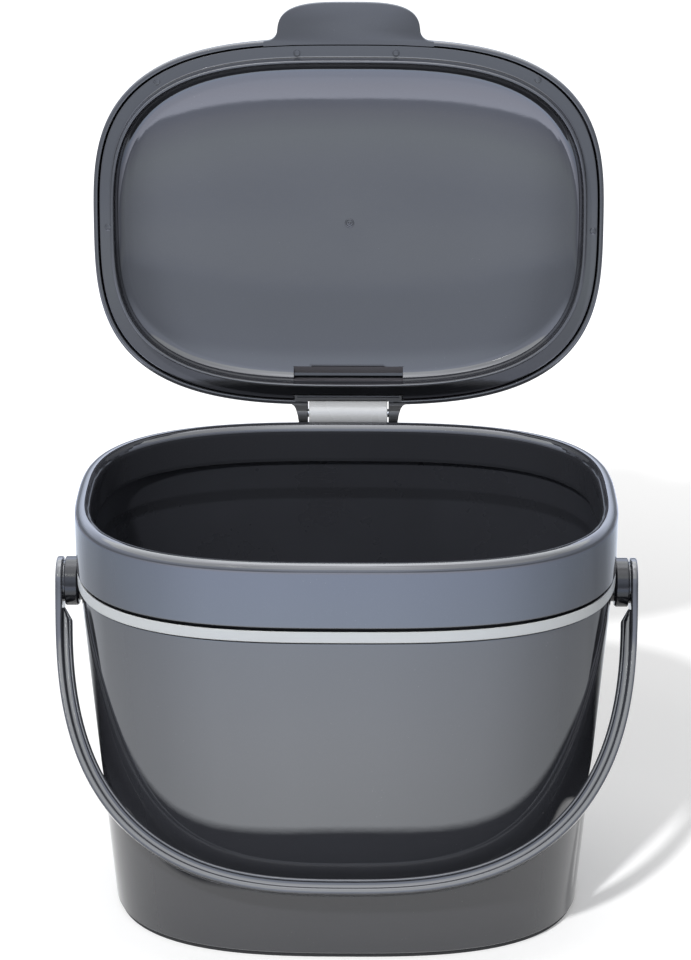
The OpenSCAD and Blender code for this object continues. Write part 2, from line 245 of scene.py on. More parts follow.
def shellTree():
    tree, inlet, outlet = growTree("roundedShell", [
        ("Half Width", "NodeSocketFloat"), ("Half Depth", "NodeSocketFloat"), ("Centre Y", "NodeSocketFloat"),
        ("Material", "NodeSocketMaterial")])
    turn = attributeNode(tree, "turn")
    power = mathNode(tree, "DIVIDE", 2.0, attributeNode(tree, "squareness"))
    across = roundPower(tree, mathNode(tree, "COSINE", turn), power)
    along = roundPower(tree, mathNode(tree, "SINE", turn), power)
    halfX = mathNode(tree, "SUBTRACT", inlet.outputs["Half Width"], attributeNode(tree, "insetX"))
    halfY = mathNode(tree, "SUBTRACT", inlet.outputs["Half Depth"], attributeNode(tree, "insetY"))
    middleY = mathNode(tree, "ADD", inlet.outputs["Centre Y"], attributeNode(tree, "moveY"))
    y = mathNode(tree, "ADD", multiplied(tree, along, halfY), middleY)
    spot = combineNode(tree, x=multiplied(tree, across, halfX), y=y, z=attributeNode(tree, "level"))
    moveAndWeld(tree, spot, inlet, outlet)
    return tree


roundedShell = shellTree()


def loftShell(name, rings, material, halfWidth, halfDepth, centreY=0.0, closed=False, squareness=2.9):
    # rings are (insetX, insetY, level, squareness, rounded, moveY or nothing), from the bottom up on the outside
    turns = evenTurns(halfWidth, halfDepth, squareness, caddy["outlinePoints"])
    n, m = len(turns), len(rings)
    faces = []
    for j in range(m if closed else m - 1):
        up = (j + 1) % m
        for i in range(n):
            k = (i + 1) % n
            faces.append((j * n + i, j * n + k, up * n + k, up * n + i))
    points = [(math.cos(t), math.sin(t), r[2] * mm) for r in rings for t in turns]
    piece = newMesh(name, points, faces)
    pointValues(piece, "turn", [t for _ in rings for t in turns])
    for slot, label in ((0, "insetX"), (1, "insetY"), (2, "level")):
        pointValues(piece, label, [r[slot] * mm for r in rings for _ in turns])
    pointValues(piece, "moveY", [(r[5] if len(r) > 5 else 0.0) * mm for r in rings for _ in turns])
    pointValues(piece, "squareness", [r[3] for r in rings for _ in turns])
    pointValues(piece, "rounding", [r[4] for r in rings for _ in turns])
    modifier = piece.modifiers.new("shell", "NODES")
    modifier.node_group = roundedShell
    setInputs(modifier, {"Half Width": halfWidth * mm, "Half Depth": halfDepth * mm, "Centre Y": centreY * mm,
                         "Material": material})
    return settle(piece, name)


def domeRings(halfWidth, halfDepth, inset, edgeLevel, centreLevel, squareness, steps, outward):
    # rings of a shallow dome or bowl, shrinking towards one point in the middle
    rings = []
    for j in range(steps + 1):
        k = j / steps
        level = centreLevel + (edgeLevel - centreLevel) * k * k
        rings.append((halfWidth - k * (halfWidth - inset), halfDepth - k * (halfDepth - inset), level,
                      squareness - 0.3 * (1 - k), 0.0))
    return rings if outward else rings[::-1]


def plainRings(run, squareness):
    return [(x, x, z, squareness, rounded) for x, z, rounded in run]


# ---- materials

def materialNodes(name):
    material = bpy.data.materials.new(name)
    material.use_nodes = True
    tree = material.node_tree
    tree.nodes.clear()
    shader = newNode(tree, "ShaderNodeBsdfPrincipled")
    newNode(tree, "ShaderNodeOutputMaterial", {"Surface": shader.outputs[0]})
    return material, tree, shader


def noiseNode(tree, where, scale, detail=3.0, roughness=0.5, distortion=0.0):
    return newNode(tree, "ShaderNodeTexNoise", {"Vector": where, "Scale": scale, "Detail": detail, "Roughness": roughness,
                                                "Distortion": distortion}).outputs[0]


def rangeNode(tree, value, fromLow, fromHigh, toLow, toHigh, soft=False):
    return newNode(tree, "ShaderNodeMapRange", dict(enumerate((value, fromLow, fromHigh, toLow, toHigh))),
                   interpolation_type="SMOOTHSTEP" if soft else "LINEAR").outputs[0]


def mixColour(tree, amount, first, second):
    shades = [(*v, 1.0) if isinstance(v, (tuple, list)) else v for v in (first, second)]
    return newNode(tree, "ShaderNodeMix", {0: amount, 6: shades[0], 7: shades[1]}, data_type="RGBA").outputs[2]


def bumpNode(tree, height, strength, distance, under=None):
    # distance is in metres
    inputs = {"Height": height, "Strength": strength, "Distance": distance}
    if under:
        inputs["Normal"] = under
    return newNode(tree, "ShaderNodeBump", inputs).outputs[0]


def objectPlace(tree):
    return newNode(tree, "ShaderNodeTexCoord").outputs["Object"]


def mouldedPlastic(name, look):
    # glossy moulded plastic: flow tone, orange peel, hair scratches, dust and rubbed edges
    material, tree, shader = materialNodes(name)
    link = tree.links.new
    shift = (look["seed"] * 0.37, look["seed"] * 0.61, look["seed"] * 0.23)
    where = newNode(tree, "ShaderNodeMapping", {"Vector": objectPlace(tree), "Location": shift}).outputs[0]
    flow = noiseNode(tree, where, 9, 3, 0.55, 0.4)
    grain = noiseNode(tree, where, 1400, 2, 0.6)
    cloud = noiseNode(tree, where, 34, 4, 0.6)
    base = look["base"]
    dark = [c * (1 - look["toneRange"]) for c in base]
    light = [c * (1 + look["toneRange"]) for c in base]
    colour = mixColour(tree, rangeNode(tree, flow, 0.3, 0.7, 0, 1), dark, light)
    colour = mixColour(tree, rangeNode(tree, grain, 0.58, 0.8, 0, look["speckle"]), colour, [c * 1.7 for c in base])
    worn = newNode(tree, "ShaderNodeAttribute", attribute_name="rounding").outputs["Fac"]
    rubbed = multiplied(tree, worn, rangeNode(tree, cloud, 0.42, 0.62, 0.25, 1))
    colour = mixColour(tree, multiplied(tree, rubbed, look["wear"]), colour, look["wornColour"])
    # dust: small pale specks that gather in patches
    specks = newNode(tree, "ShaderNodeTexVoronoi", {"Vector": where, "Scale": 520})
    near = rangeNode(tree, specks.outputs["Distance"], 0.04, 0.1, 1, 0)
    patch = rangeNode(tree, noiseNode(tree, where, 60, 2), 0.6, 0.72, 0, 1)
    dust = multiplied(tree, multiplied(tree, near, patch), look["dust"])
    colour = mixColour(tree, dust, colour, look["dustColour"])
    link(colour, shader.inputs["Base Color"])
    # hair scratches: thin bands of a stretched, bent noise
    stretch = newNode(tree, "ShaderNodeMapping", {"Vector": where, "Rotation": (0.5, 0.9, 0.3 + look["seed"]),
                                                  "Scale": (1, 26, 26)}).outputs[0]
    hair = noiseNode(tree, stretch, 42, 2, 0.45, 0.3)
    line = rangeNode(tree, mathNode(tree, "ABSOLUTE", mathNode(tree, "SUBTRACT", hair, 0.5)), 0, 0.006, 1, 0)
    scratch = multiplied(tree, line, rangeNode(tree, noiseNode(tree, where, 25, 2), 0.52, 0.66, 0, 1))
    rough = rangeNode(tree, cloud, 0.3, 0.7, *look["roughness"])
    for mask, amount in ((scratch, look["scratch"]), (rubbed, look["wornRough"]), (dust, 0.3)):
        rough = mathNode(tree, "ADD", rough, multiplied(tree, mask, amount))
    link(rough, shader.inputs["Roughness"])
    peel = bumpNode(tree, noiseNode(tree, where, 210, 2, 0.5), look["peel"], 0.00012)
    link(bumpNode(tree, grain, look["fine"], 0.00004, peel), shader.inputs["Normal"])
    shader.inputs["IOR"].default_value = look["ior"]
    shader.inputs["Specular IOR Level"].default_value = look["specular"]
    return material


charcoalLook = {
    "base": (0.030, 0.0315, 0.0375),
    "toneRange": 0.06,
    "speckle": 0.25,
    "wear": 0.35,
    "wornColour": (0.075, 0.078, 0.088),
    "wornRough": 0.06,
    "dust": 0.35,
    "dustColour": (0.28, 0.28, 0.28),
    "roughness": (0.014, 0.034),
    "scratch": 0.10,
    "peel": 0.06,
    "fine": 0.05,
    "ior": 1.55,
    "specular": 0.7,
    "seed": 1.0,
}


def charcoal(name, **changes):
    return mouldedPlastic(name, {**charcoalLook, **changes})


bucketPlastic = charcoal("bucketPlastic", seed=1.0)
insidePlastic = charcoal("insidePlastic", seed=1.5, roughness=(0.24, 0.34), specular=0.5, scratch=0.2, dust=0.0)
collarPlastic = charcoal("collarPlastic", seed=2.0, wornRough=0.24, wear=0.2)
coverPlastic = charcoal("coverPlastic", seed=3.0)
panelPlastic = charcoal("panelPlastic", seed=4.0, roughness=(0.035, 0.06))
handlePlastic = charcoal("handlePlastic", seed=5.0, roughness=(0.05, 0.09), wear=0.5)
# the hubs' plastic is painted far darker than the charcoal: painted shade for the shadow the hubs sit in
hubPlastic = charcoal("hubPlastic", seed=6.0, base=(0.011, 0.0115, 0.014), roughness=(0.11, 0.16), specular=0.28, wear=0.15)
# the pocket's plastic is rougher and painted lighter and warmer than the panel's: the matt finish is real, the lighter
# colour is painted light on the recess
pocketPlastic = charcoal("pocketPlastic", seed=10.0, base=(0.07, 0.067, 0.074), roughness=(0.3, 0.4), specular=0.5)
# the hinge bracket is rougher and painted lighter than the lid cover it is moulded with: the rough finish is real, the
# lighter colour is painted light that evens out the arms' shading
bracketPlastic = charcoal("bracketPlastic", seed=9.0, base=(0.058, 0.059, 0.062), roughness=(0.34, 0.44), specular=0.45)
bandPlastic = charcoal("bandPlastic", seed=7.0, base=(0.43, 0.445, 0.45), toneRange=0.03, speckle=0.08, wear=0.3,
                       wornColour=(0.56, 0.57, 0.57), dustColour=(0.25, 0.25, 0.24), roughness=(0.28, 0.36),
                       specular=0.5)
barrelPlastic = charcoal("barrelPlastic", seed=8.0, base=(0.55, 0.56, 0.575), toneRange=0.015, speckle=0.08, wear=0.3,
                         wornColour=(0.75, 0.75, 0.75), dustColour=(0.2, 0.2, 0.2), roughness=(0.24, 0.32),
                         specular=0.5)
print("materials: charcoal and light plastics")


def rubberMaterial(name):
    material, tree, shader = materialNodes(name)
    link = tree.links.new
    where = objectPlace(tree)
    cloud = noiseNode(tree, where, 40, 4, 0.6)
    grain = noiseNode(tree, where, 900, 3, 0.6)
    colour = mixColour(tree, rangeNode(tree, cloud, 0.35, 0.65, 0, 1), (0.010, 0.010, 0.011), (0.019, 0.019, 0.020))
    colour = mixColour(tree, rangeNode(tree, grain, 0.6, 0.8, 0, 0.5), colour, (0.07, 0.07, 0.068))
    link(colour, shader.inputs["Base Color"])
    link(rangeNode(tree, cloud, 0.3, 0.7, 0.62, 0.8), shader.inputs["Roughness"])
    link(bumpNode(tree, grain, 0.3, 0.0001), shader.inputs["Normal"])
    return material


def steelMaterial(name):
    # drawn wire: fine lines along the pin
    material, tree, shader = materialNodes(name)
    link = tree.links.new
    stretch = newNode(tree, "ShaderNodeMapping", {"Vector": objectPlace(tree), "Scale": (40, 2600, 2600)}).outputs[0]
    lines = noiseNode(tree, stretch, 1, 2, 0.5)
    colour = mixColour(tree, rangeNode(tree, lines, 0.35, 0.65, 0, 1), (0.42, 0.43, 0.44), (0.62, 0.63, 0.64))
    link(colour, shader.inputs["Base Color"])
    link(rangeNode(tree, lines, 0.3, 0.7, 0.22, 0.38), shader.inputs["Roughness"])
    link(bumpNode(tree, lines, 0.15, 0.00003), shader.inputs["Normal"])
    shader.inputs["Metallic"].default_value = 1.0
    return material


soleRubber = rubberMaterial("soleRubber")
pinSteel = steelMaterial("pinSteel")
print("materials: rubber and steel")


# ---- helpers for solid pieces

def lathe(name, run, material, axisPoint, direction, segments=96):
    # run is (radius, distance along the axis, rounded); the ends may lie on the axis
    direction = Vector(direction).normalized()
    side = direction.orthogonal().normalized()
    other = direction.cross(side)
    origin = Vector(axisPoint)
    points, rounded = [], []
    for radius, along, worn in run:
        for i in range(segments):
            t = 2 * math.pi * i / segments
            spot = origin + direction * along + (side * math.cos(t) + other * math.sin(t)) * radius
            points.append(spot * mm)
            rounded.append(worn)
    faces = []
    for j in range(len(run) - 1):
        for i in range(segments):
            k = (i + 1) % segments
            faces.append((j * segments + i, j * segments + k, (j + 1) * segments + k, (j + 1) * segments + i))
    piece = newMesh(name, points, faces)
    pointValues(piece, "rounding", rounded)
    return tidyMesh(piece, material)


def tidyMesh(piece, material, angle=None):
    mesh = piece.data
    bm = bmesh.new()
    bm.from_mesh(mesh)
    bmesh.ops.remove_doubles(bm, verts=bm.verts, dist=weldDistance)
    bmesh.ops.dissolve_degenerate(bm, dist=1e-7, edges=bm.edges)
    bmesh.ops.recalc_face_normals(bm, faces=bm.faces)
    bm.to_mesh(mesh)
    bm.free()
    mesh.polygons.foreach_set("use_smooth", [True] * len(mesh.polygons))
    if angle is not None:
        mesh.set_sharp_from_angle(angle=math.radians(angle))
    if material is not None:
        mesh.materials.clear()
        mesh.materials.append(material)
    return piece


def creased(piece, angle=creaseAngle):
    piece.data.polygons.foreach_set("use_smooth", [True] * len(piece.data.polygons))
    piece.data.set_sharp_from_angle(angle=math.radians(angle))
    return piece


def rod(name, radius, half, segments):
    # a plain cylinder on the lid's hinge axis, to cut with
    return lathe(name, [(0, -half, 0), (radius, -half, 0), (radius, half, 0), (0, half, 0)], None,
                 (0, caddy["hingeY"], caddy["hingeZ"]), (1, 0, 0), segments)


def prism(name, outline, low, high, axis="Z"):
    # outline in the plane square to the axis, anticlockwise seen from the axis' tip
    n = len(outline)

    def spot(a, b, c):
        return Vector((a, b, c) if axis == "Z" else (c, a, b)) * mm

    points = [spot(a, b, low) for a, b in outline] + [spot(a, b, high) for a, b in outline]
    faces = [tuple(range(n))[::-1], tuple(range(n, 2 * n))]
    faces += [(i, (i + 1) % n, n + (i + 1) % n, n + i) for i in range(n)]
    return newMesh(name, points, faces)


def cut(piece, tool, operation="DIFFERENCE"):
    modifier = piece.modifiers.new("cut", "BOOLEAN")
    modifier.operation = operation
    modifier.solver = "EXACT"
    modifier.object = tool
    name = piece.name
    done = settle(piece, name + "Cut")
    done.name = name
    old = tool.data
    bpy.data.objects.remove(tool)
    bpy.data.meshes.remove(old)
    return done


def bevelled(piece, width, segments, material, angle=30):
    modifier = piece.modifiers.new("edges", "BEVEL")
    modifier.width = width * mm
    modifier.segments = segments
    modifier.limit_method = "ANGLE"
    modifier.angle_limit = math.radians(angle)
    modifier.harden_normals = True
    name = piece.name
    for face in piece.data.polygons:
        face.use_smooth = True
    piece.data.materials.clear()
    piece.data.materials.append(material)
    done = settle(piece, name + "Edged")
    done.name = name
    return done


def turnLid(piece):
    # a piece modelled on the closed lid goes to the open lid
    hinge = Vector((0, caddy["hingeY"], caddy["hingeZ"])) * mm
    turn = (Matrix.Translation(hinge) @ Matrix.Rotation(-math.radians(caddy["lidAngle"]), 4, "X")
            @ Matrix.Translation(-hinge))
    piece.data.transform(turn)
    piece.data.update()
    return piece


def joined(name, pieces):
    # puts several meshes in one, with their materials and the rounding values
    bpy.ops.object.select_all(action="DESELECT")
    for piece in pieces:
        piece.select_set(True)
    bpy.context.view_layer.objects.active = pieces[0]
    bpy.ops.object.join()
    whole = bpy.context.view_layer.objects.active
    whole.name = name
    whole.data.name = name
    whole.select_set(False)
    return whole


def place(piece, body, slot, *nodes):
    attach(piece, body)
    if nodes:
        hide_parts(*nodes)


# ---- bucket

bucket = {
    "shoulderInset": 1.2,
    "taperSide": 12.0,
    "taperFront": 10.0,
    "footZ": 3.8,
    "skirtZ": 1.8,
    "floorZ": 6.4,
    "shoulderZ": 166.0,
    "neckZ": 189.6,
    "wall": 2.6,
    "neckInset": 2.8,
    "neckWall": 2.4,
    "soleTop": 3.4,
}


def bucketRings(run):
    # adds the taper towards the foot, more at the sides than at the front
    rings = []
    for inset, z, rounded in run:
        k = max(0.0, min(1.0, (z - bucket["footZ"]) / (bucket["shoulderZ"] - bucket["footZ"])))
        square = caddy["footSquareness"] + (caddy["rimSquareness"] - caddy["footSquareness"]) * z / caddy["rimHeight"]
        rings.append((inset + bucket["taperSide"] * (1 - k), inset + bucket["taperFront"] * (1 - k), z, square, rounded))
    return rings


def closedMiddle(rings, lowSteps, highSteps):
    # goes on from the first and the last ring to a point in the middle
    a, c = caddy["rimHalfWidth"], caddy["rimHalfDepth"]

    def middle(ring, k):
        return (a - k * (a - ring[0]), c - k * (c - ring[1]), ring[2], ring[3] - 0.3 * (1 - k), 0.0)

    return [middle(rings[0], k) for k in lowSteps] + rings + [middle(rings[-1], k) for k in highSteps]


def makeBucket():
    b = bucket
    out = b["shoulderInset"]
    inn = b["neckInset"] + b["neckWall"]
    run = filletedRun([
        (40, b["soleTop"], 0), (out + 3.2, b["soleTop"], 0.3), (out + 3.2, b["skirtZ"], 0.2), (out + 1.0, b["skirtZ"], 0.45),
        (out + 0.05, b["footZ"] - 0.9, 0.8), (out, b["footZ"] + 1.5, 0.8),
        (out, b["shoulderZ"] - 1.0, 0.25), (out + 1.0, b["shoulderZ"], 0.2), (b["neckInset"], b["shoulderZ"], 0.2),
        (b["neckInset"], b["neckZ"], 0.7), (inn, b["neckZ"], 0.7), (inn, b["shoulderZ"] + 3, 5),
        (out + b["wall"], b["shoulderZ"] - 3, 5),
        (out + b["wall"], b["floorZ"], 12), (out + b["wall"] + 26, b["floorZ"], 0)])
    rings = closedMiddle(bucketRings(run), (0, 0.4, 0.75), (0.85, 0.6, 0.3, 0))
    a, c = caddy["rimHalfWidth"], caddy["rimHalfDepth"]
    piece = tidyMesh(loftShell("bucketShell", rings, bucketPlastic, a, c), bucketPlastic)
    # the inside is duller than the outside
    piece.data.materials.append(insidePlastic)
    for face in piece.data.polygons:
        spot, way = face.center, face.normal
        inward = spot.x * way.x / a ** 2 + spot.y * way.y / c ** 2 < 0 and abs(way.z) < 0.9
        if inward and spot.z > 4 * mm or way.z > 0.3 and 4 * mm < spot.z < 30 * mm:
            face.material_index = 1
    return piece


bucketShell = makeBucket()
place(bucketShell, "bucket_body", "charcoal_plastic", "bucket")
print("bucket:", len(bucketShell.data.polygons), "faces")

sole = {
    "inset": 3.6,
    "foot": 2.3,
    "top": 3.4,
    "tread": 0.7,
    "treadInset": 13.0,
}


def makeSole():
    b = bucket
    out = b["shoulderInset"] + sole["inset"]
    run = filletedRun([
        (out + sole["treadInset"] + 6, sole["tread"], 0), (out + sole["treadInset"], sole["tread"], 0.2),
        (out + sole["treadInset"] - 0.8, 0, 0.2), (out - sole["foot"], 0, 0.35), (out - sole["foot"], b["skirtZ"] - 0.06, 0.3),
        (out, b["skirtZ"] - 0.06, 0.1), (out, sole["top"] - 0.02, 0.1),
        (out + 30, sole["top"] - 0.02, 0)])
    rings = closedMiddle(bucketRings(run), (0, 0.5), (0.5, 0))
    return tidyMesh(loftShell("solePad", rings, soleRubber, caddy["rimHalfWidth"], caddy["rimHalfDepth"]), soleRubber)


solePad = makeSole()
place(solePad, "bucket_body", "sole_rubber", "sole")

band = {
    "low": 166.0,
    "height": 5.6,
    "out": 0.2,
    "inner": 2.7,
}


def makeBand():
    top = band["low"] + band["height"]
    run = filletedRun([(band["inner"], band["low"] + 0.02, 0.1), (band["out"], band["low"] + 0.02, 0.45), (band["out"], top, 0.55),
                       (band["out"] + 1.1, top - 0.6, 0.3), (band["inner"], top - 2.2, 0.1)], closed=True)
    return loftShell("trimRing", plainRings(run, caddy["rimSquareness"]), bandPlastic, caddy["rimHalfWidth"],
                     caddy["rimHalfDepth"], closed=True)


trimRing = tidyMesh(makeBand(), bandPlastic)
place(trimRing, "bucket_body", "light_plastic", "trim_band")
print("sole and trim band")


# ---- collar with the hinge housing

collar = {
    "low": 173.0,
    "lip": 7.7,
    "skirt": 2.2,
    "inner": 184.0,
    "channel": 195.3,
    "seat": 189.9,
    "seatWidth": 1.6,
    "housingWidth": 50.0,
    "housingY": 100.2,
    "housingTop": 198.6,
    "housingLow": 175.0,
    "saddleRadius": 6.3,
    "saddleHalf": 19.9,
    "wellHalf": 17.1,
    "wellDepth": 4.5,
    "wellLow": 179,
}


def makeCollar():
    c = collar
    r = c["lip"] / 2
    lipZ = caddy["rimHeight"] - r
    rise = [(-0.05, c["low"], 0.6), (0.0, lipZ - 0.4, 0)]
    arc = [(r - r * math.cos(math.radians(t)), lipZ + r * math.sin(math.radians(t)), 0.7 * math.sin(math.radians(t)) ** 2)
           for t in range(0, 181, 10)]
    down = [(c["lip"] + 0.1, lipZ - 0.5, 0), (c["lip"] + 0.4, c["inner"] + 2, 1.2), (c["lip"] + 0.2, c["inner"], 0.5),
            (c["lip"] - 1.5, c["inner"], 0.5), (c["lip"] - 1.8, c["seat"], 0.1), (c["lip"] - 1.8 - c["seatWidth"], c["seat"], 0.1),
            (c["lip"] - 1.8 - c["seatWidth"], c["channel"], 0.2), (c["skirt"] + 0.1, c["channel"], 0.2),
            (c["skirt"] - 0.1, c["low"], 0.5)]
    run = filletedRun(rise + arc + down, closed=True, longest=6)
    rim = loftShell("collarRim", plainRings(run, caddy["rimSquareness"]), collarPlastic, caddy["rimHalfWidth"],
                    caddy["rimHalfDepth"], closed=True)
    rim = tidyMesh(rim, collarPlastic)
    # block that holds the barrel's leg
    skin, corner, w = caddy["rimHalfDepth"] - 1.4, 3.0, c["housingWidth"] / 2
    outline = [(w, skin)]
    for sign in (1, -1):
        for step in range(7):
            t = math.radians(90 * step / 6)
            x = w - corner + corner * (math.cos(t) if sign > 0 else math.sin(t))
            y = c["housingY"] - corner + corner * (math.sin(t) if sign > 0 else math.cos(t))
            outline.append((sign * x, y))
    outline.append((-w, skin))
    block = prism("hingeHousing", outline, c["housingLow"], c["housingTop"])
    wedge = prism("wedge", [(caddy["rimHalfDepth"] + 0.5, c["housingLow"] - 1), (c["housingY"] + 1, c["housingLow"] - 1),
                            (c["housingY"] + 1, c["housingLow"] + 5)], -w - 2, w + 2, "X")
    block = cut(block, wedge)
    block = bevelled(block, 0.5, 3, collarPlastic)
    block = cut(block, rod("saddle", c["saddleRadius"], c["saddleHalf"], 128))
    wide, near, far = c["wellHalf"], caddy["hingeY"] - c["wellDepth"] / 2, caddy["hingeY"] + c["wellDepth"] / 2
    block = cut(block, prism("well", [(-wide, near), (wide, near), (wide, far), (-wide, far)], c["wellLow"], 215))
    rim = cut(rim, rod("saddle", c["saddleRadius"], c["saddleHalf"], 128))
    return joined("collarRim", [creased(rim), creased(block)])


collarRim = makeCollar()
place(collarRim, "collar_body", "charcoal_plastic", "collar")
print("collar:", len(collarRim.data.polygons), "faces")

barrel = {
    "radius": 6.2,
    "length": 38.6,
    "bore": 2.05,
    "legWidth": 34.0,
    "legDepth": 4.4,
    "legLow": 179.0,
}


def makeBarrel():
    b = barrel
    half = b["length"] / 2
    run = filletedRun([(b["bore"], -half, 0.3), (b["radius"], -half, 0.55), (b["radius"], half, 0.55), (b["bore"], half, 0.3)],
                      closed=True)
    tube = lathe("hingeBarrel", run + [run[0]], barrelPlastic, (0, caddy["hingeY"], caddy["hingeZ"]), (1, 0, 0))
    w, d = b["legWidth"] / 2, b["legDepth"] / 2
    y = caddy["hingeY"]
    leg = prism("barrelLeg", [(-w, y - d), (w, y - d), (w, y + d), (-w, y + d)], b["legLow"], caddy["hingeZ"] - 4)
    leg = bevelled(leg, 0.4, 3, barrelPlastic)
    return joined("hingeBarrel", [tube, leg])


hingeBarrel = makeBarrel()
place(hingeBarrel, "collar_body", "light_plastic", "hinge_barrel")

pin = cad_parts["hinge_pin"]
pin.data.materials.clear()
pin.data.materials.append(pinSteel)
print("hinge barrel and pin")


# ---- lid cover with tab and hinge bracket

lid = {
    "halfWidth": 123.8,
    "halfDepth": 89.8,
    "centreY": 0.8,
    "squareness": 3.08,
    "low": 203.5,
    "lip": 2.2,
    "edgeHeight": 10.0,
    "crownEdge": 10.9,
    "crown": 13.5,
    "shellWall": 2.2,
}

tab = {
    "halfWidth": 34.2,
    "reach": 17.4,
    "depth": 16.4,
    "squareness": 3.2,
    "fillet": 5.0,
    "thickness": 4.6,
    "rootInset": 2.5,
}

bracket = {
    "width": 52.8,
    "inset": 5.0,
    "armHeight": 7.4,
    "eye": 5.2,
    "roomRadius": 6.9,
    "roomHalf": 19.9,
    "pinRadius": 2.0,
    "beadDrop": 0.25,
}


def lidEdgeY(x, inset=0.0):
    a, b = lid["halfWidth"] - inset, lid["halfDepth"] - inset
    return b * (1 - min(1.0, abs(x) / a) ** lid["squareness"]) ** (1 / lid["squareness"])


def tabOutline():
    # half the front as a rounded rectangle, then a concave fillet that runs into the lid's edge
    front = lid["centreY"] - lid["halfDepth"] - tab["reach"]
    half = []
    for step in range(49):
        t = math.pi / 2 * step / 48
        x = tab["halfWidth"] * math.sin(t) ** (2 / tab["squareness"])
        y = front + tab["depth"] * (1 - math.cos(t) ** (2 / tab["squareness"]) if step < 48 else 1)
        half.append((x, y))
    r = tab["fillet"]
    centreX = tab["halfWidth"] + r
    centreY = min(lid["centreY"] - lidEdgeY(centreX + k * 0.1) - r for k in range(0, 20)) - 0.05
    while half and half[-1][1] > centreY - 0.3:
        half.pop()
    for step in range(11):
        t = math.radians(90 * step / 10)
        half.append((centreX - r * math.cos(t), centreY + r * math.sin(t)))
    xEnd = half[-1][0] + 1.5
    half.append((xEnd, lid["centreY"] - lidEdgeY(xEnd) + 0.15))
    return half, xEnd


def makeTab():
    half, xEnd = tabOutline()
    left = [(-x, y) for x, y in reversed(half[1:])]
    root = [(xEnd * k, lid["centreY"] - lidEdgeY(xEnd * k, tab["rootInset"])) for k in (1, 0.66, 0.33, 0, -0.33, -0.66, -1)]
    outline = left + half + root
    outer = len(left) + len(half)
    piece = prism("gripTab", outline, lid["low"] - 0.03, lid["low"] + tab["thickness"])
    mesh = piece.data
    weights = mesh.attributes.new("bevel_weight_edge", "FLOAT", "EDGE")
    n = len(outline)
    for edge in mesh.edges:
        i, k = sorted(v % n for v in edge.vertices)
        flat = (edge.vertices[0] < n) == (edge.vertices[1] < n)
        if flat and k < outer - 1 and i >= 1 and abs(i - k) == 1:
            weights.data[edge.index].value = 1.0
    modifier = piece.modifiers.new("edges", "BEVEL")
    modifier.limit_method = "WEIGHT"
    modifier.width = 0.9 * mm
    modifier.segments = 5
    for face in mesh.polygons:
        face.use_smooth = True
    mesh.materials.append(coverPlastic)
    done = settle(piece, "gripTab")
    done.data.set_sharp_from_angle(angle=math.radians(40))
    return done


def makeBracket():
    k = bracket
    back = lid["centreY"] + lid["halfDepth"]
    w = k["width"] / 2
    low, hy, hz = lid["low"], caddy["hingeY"], caddy["hingeZ"]
    step = back - lid["lip"] + 0.1
    right = [(w, back - k["inset"]), (w, step), (w + 2.5, step), (w + 2.5, back - 0.8), (w + 1.3, back - 0.35),
             (w + 0.4, back + 0.25), (w - 0.35, back + 1.05), (w - 0.8, back + 2), (w - 1.5, hy), (w - 2.2, hy + k["eye"])]
    plan = right + [(-x, y) for x, y in reversed(right)]
    body = prism("hingeBracket", plan, low - 8, low + 12)
    side = [(back - k["inset"], low), (back - 0.2, low)]
    for step in range(33):
        t = math.radians(-112 + 205 * step / 32)
        side.append((hy + k["eye"] * math.cos(t), hz + k["eye"] * math.sin(t)))
    side += [(back + 0.6, low + k["armHeight"]), (back - k["inset"], low + k["armHeight"])]
    profile = prism("profile", side, -w - 5, w + 5, "X")
    body = cut(body, profile, "INTERSECT")
    body = cut(body, rod("room", k["roomRadius"], k["roomHalf"], 96))
    h = k["roomHalf"]
    slot = prism("slot", [(-h, hy - 6.2), (h, hy - 6.2), (h, hy + 12), (-h, hy + 12)], low - 9, low + 14)
    body = cut(body, slot)
    body = cut(body, rod("hole", k["pinRadius"], 40, 48))
    bm = bmesh.new()
    bm.from_mesh(body.data)
    bmesh.ops.remove_doubles(bm, verts=bm.verts, dist=weldDistance)
    bmesh.ops.dissolve_limit(bm, angle_limit=math.radians(1), verts=bm.verts, edges=bm.edges)
    bm.to_mesh(body.data)
    bm.free()
    body = bevelled(body, 0.6, 4, bracketPlastic)
    near, far = back - k["inset"] + 0.05, back - k["inset"] + 1.05
    drop = low - k["beadDrop"]
    bead = prism("bead", [(near, drop), (far, drop), (far, low + 0.6), (near, low + 0.6)], -w + 1.2, w - 1.2, "X")
    return joined("hingeBracket", [body, bevelled(bead, 0.3, 4, coverPlastic)])


def makeCover():
    a, b, n = lid["halfWidth"], lid["halfDepth"], lid["squareness"]
    z = lid["low"]
    wall = lid["shellWall"]
    inside = domeRings(a, b, 10, z + lid["crownEdge"] - wall, z + lid["crown"] - wall, n, 5, True)
    run = filletedRun([(9.9, z + lid["crownEdge"] - wall, 0), (lid["lip"], z + 7.2, 2.5), (lid["lip"], z, 0.4), (0, z, 1.1),
                       (0.1, z + 5, 6), (0.6, z + lid["edgeHeight"], 4.4), (10, z + lid["crownEdge"], 12)])
    outside = domeRings(a, b, 10, z + lid["crownEdge"], z + lid["crown"], n, 12, False)
    rings = inside + plainRings(run[1:-1], n) + outside
    shell = loftShell("lidCover", rings, coverPlastic, a, b, lid["centreY"], squareness=n)
    shell = tidyMesh(shell, coverPlastic)
    shell = creased(cut(shell, rod("room", bracket["roomRadius"], bracket["roomHalf"], 96)))
    return turnLid(joined("lidCover", [shell, makeTab(), makeBracket()]))


lidCover = makeCover()
place(lidCover, "lid", "charcoal_plastic", "lid_cover")
print("lid cover:", len(lidCover.data.polygons), "faces")


# ---- lid panel with plug rib, bowl, pocket and the marks of the mould

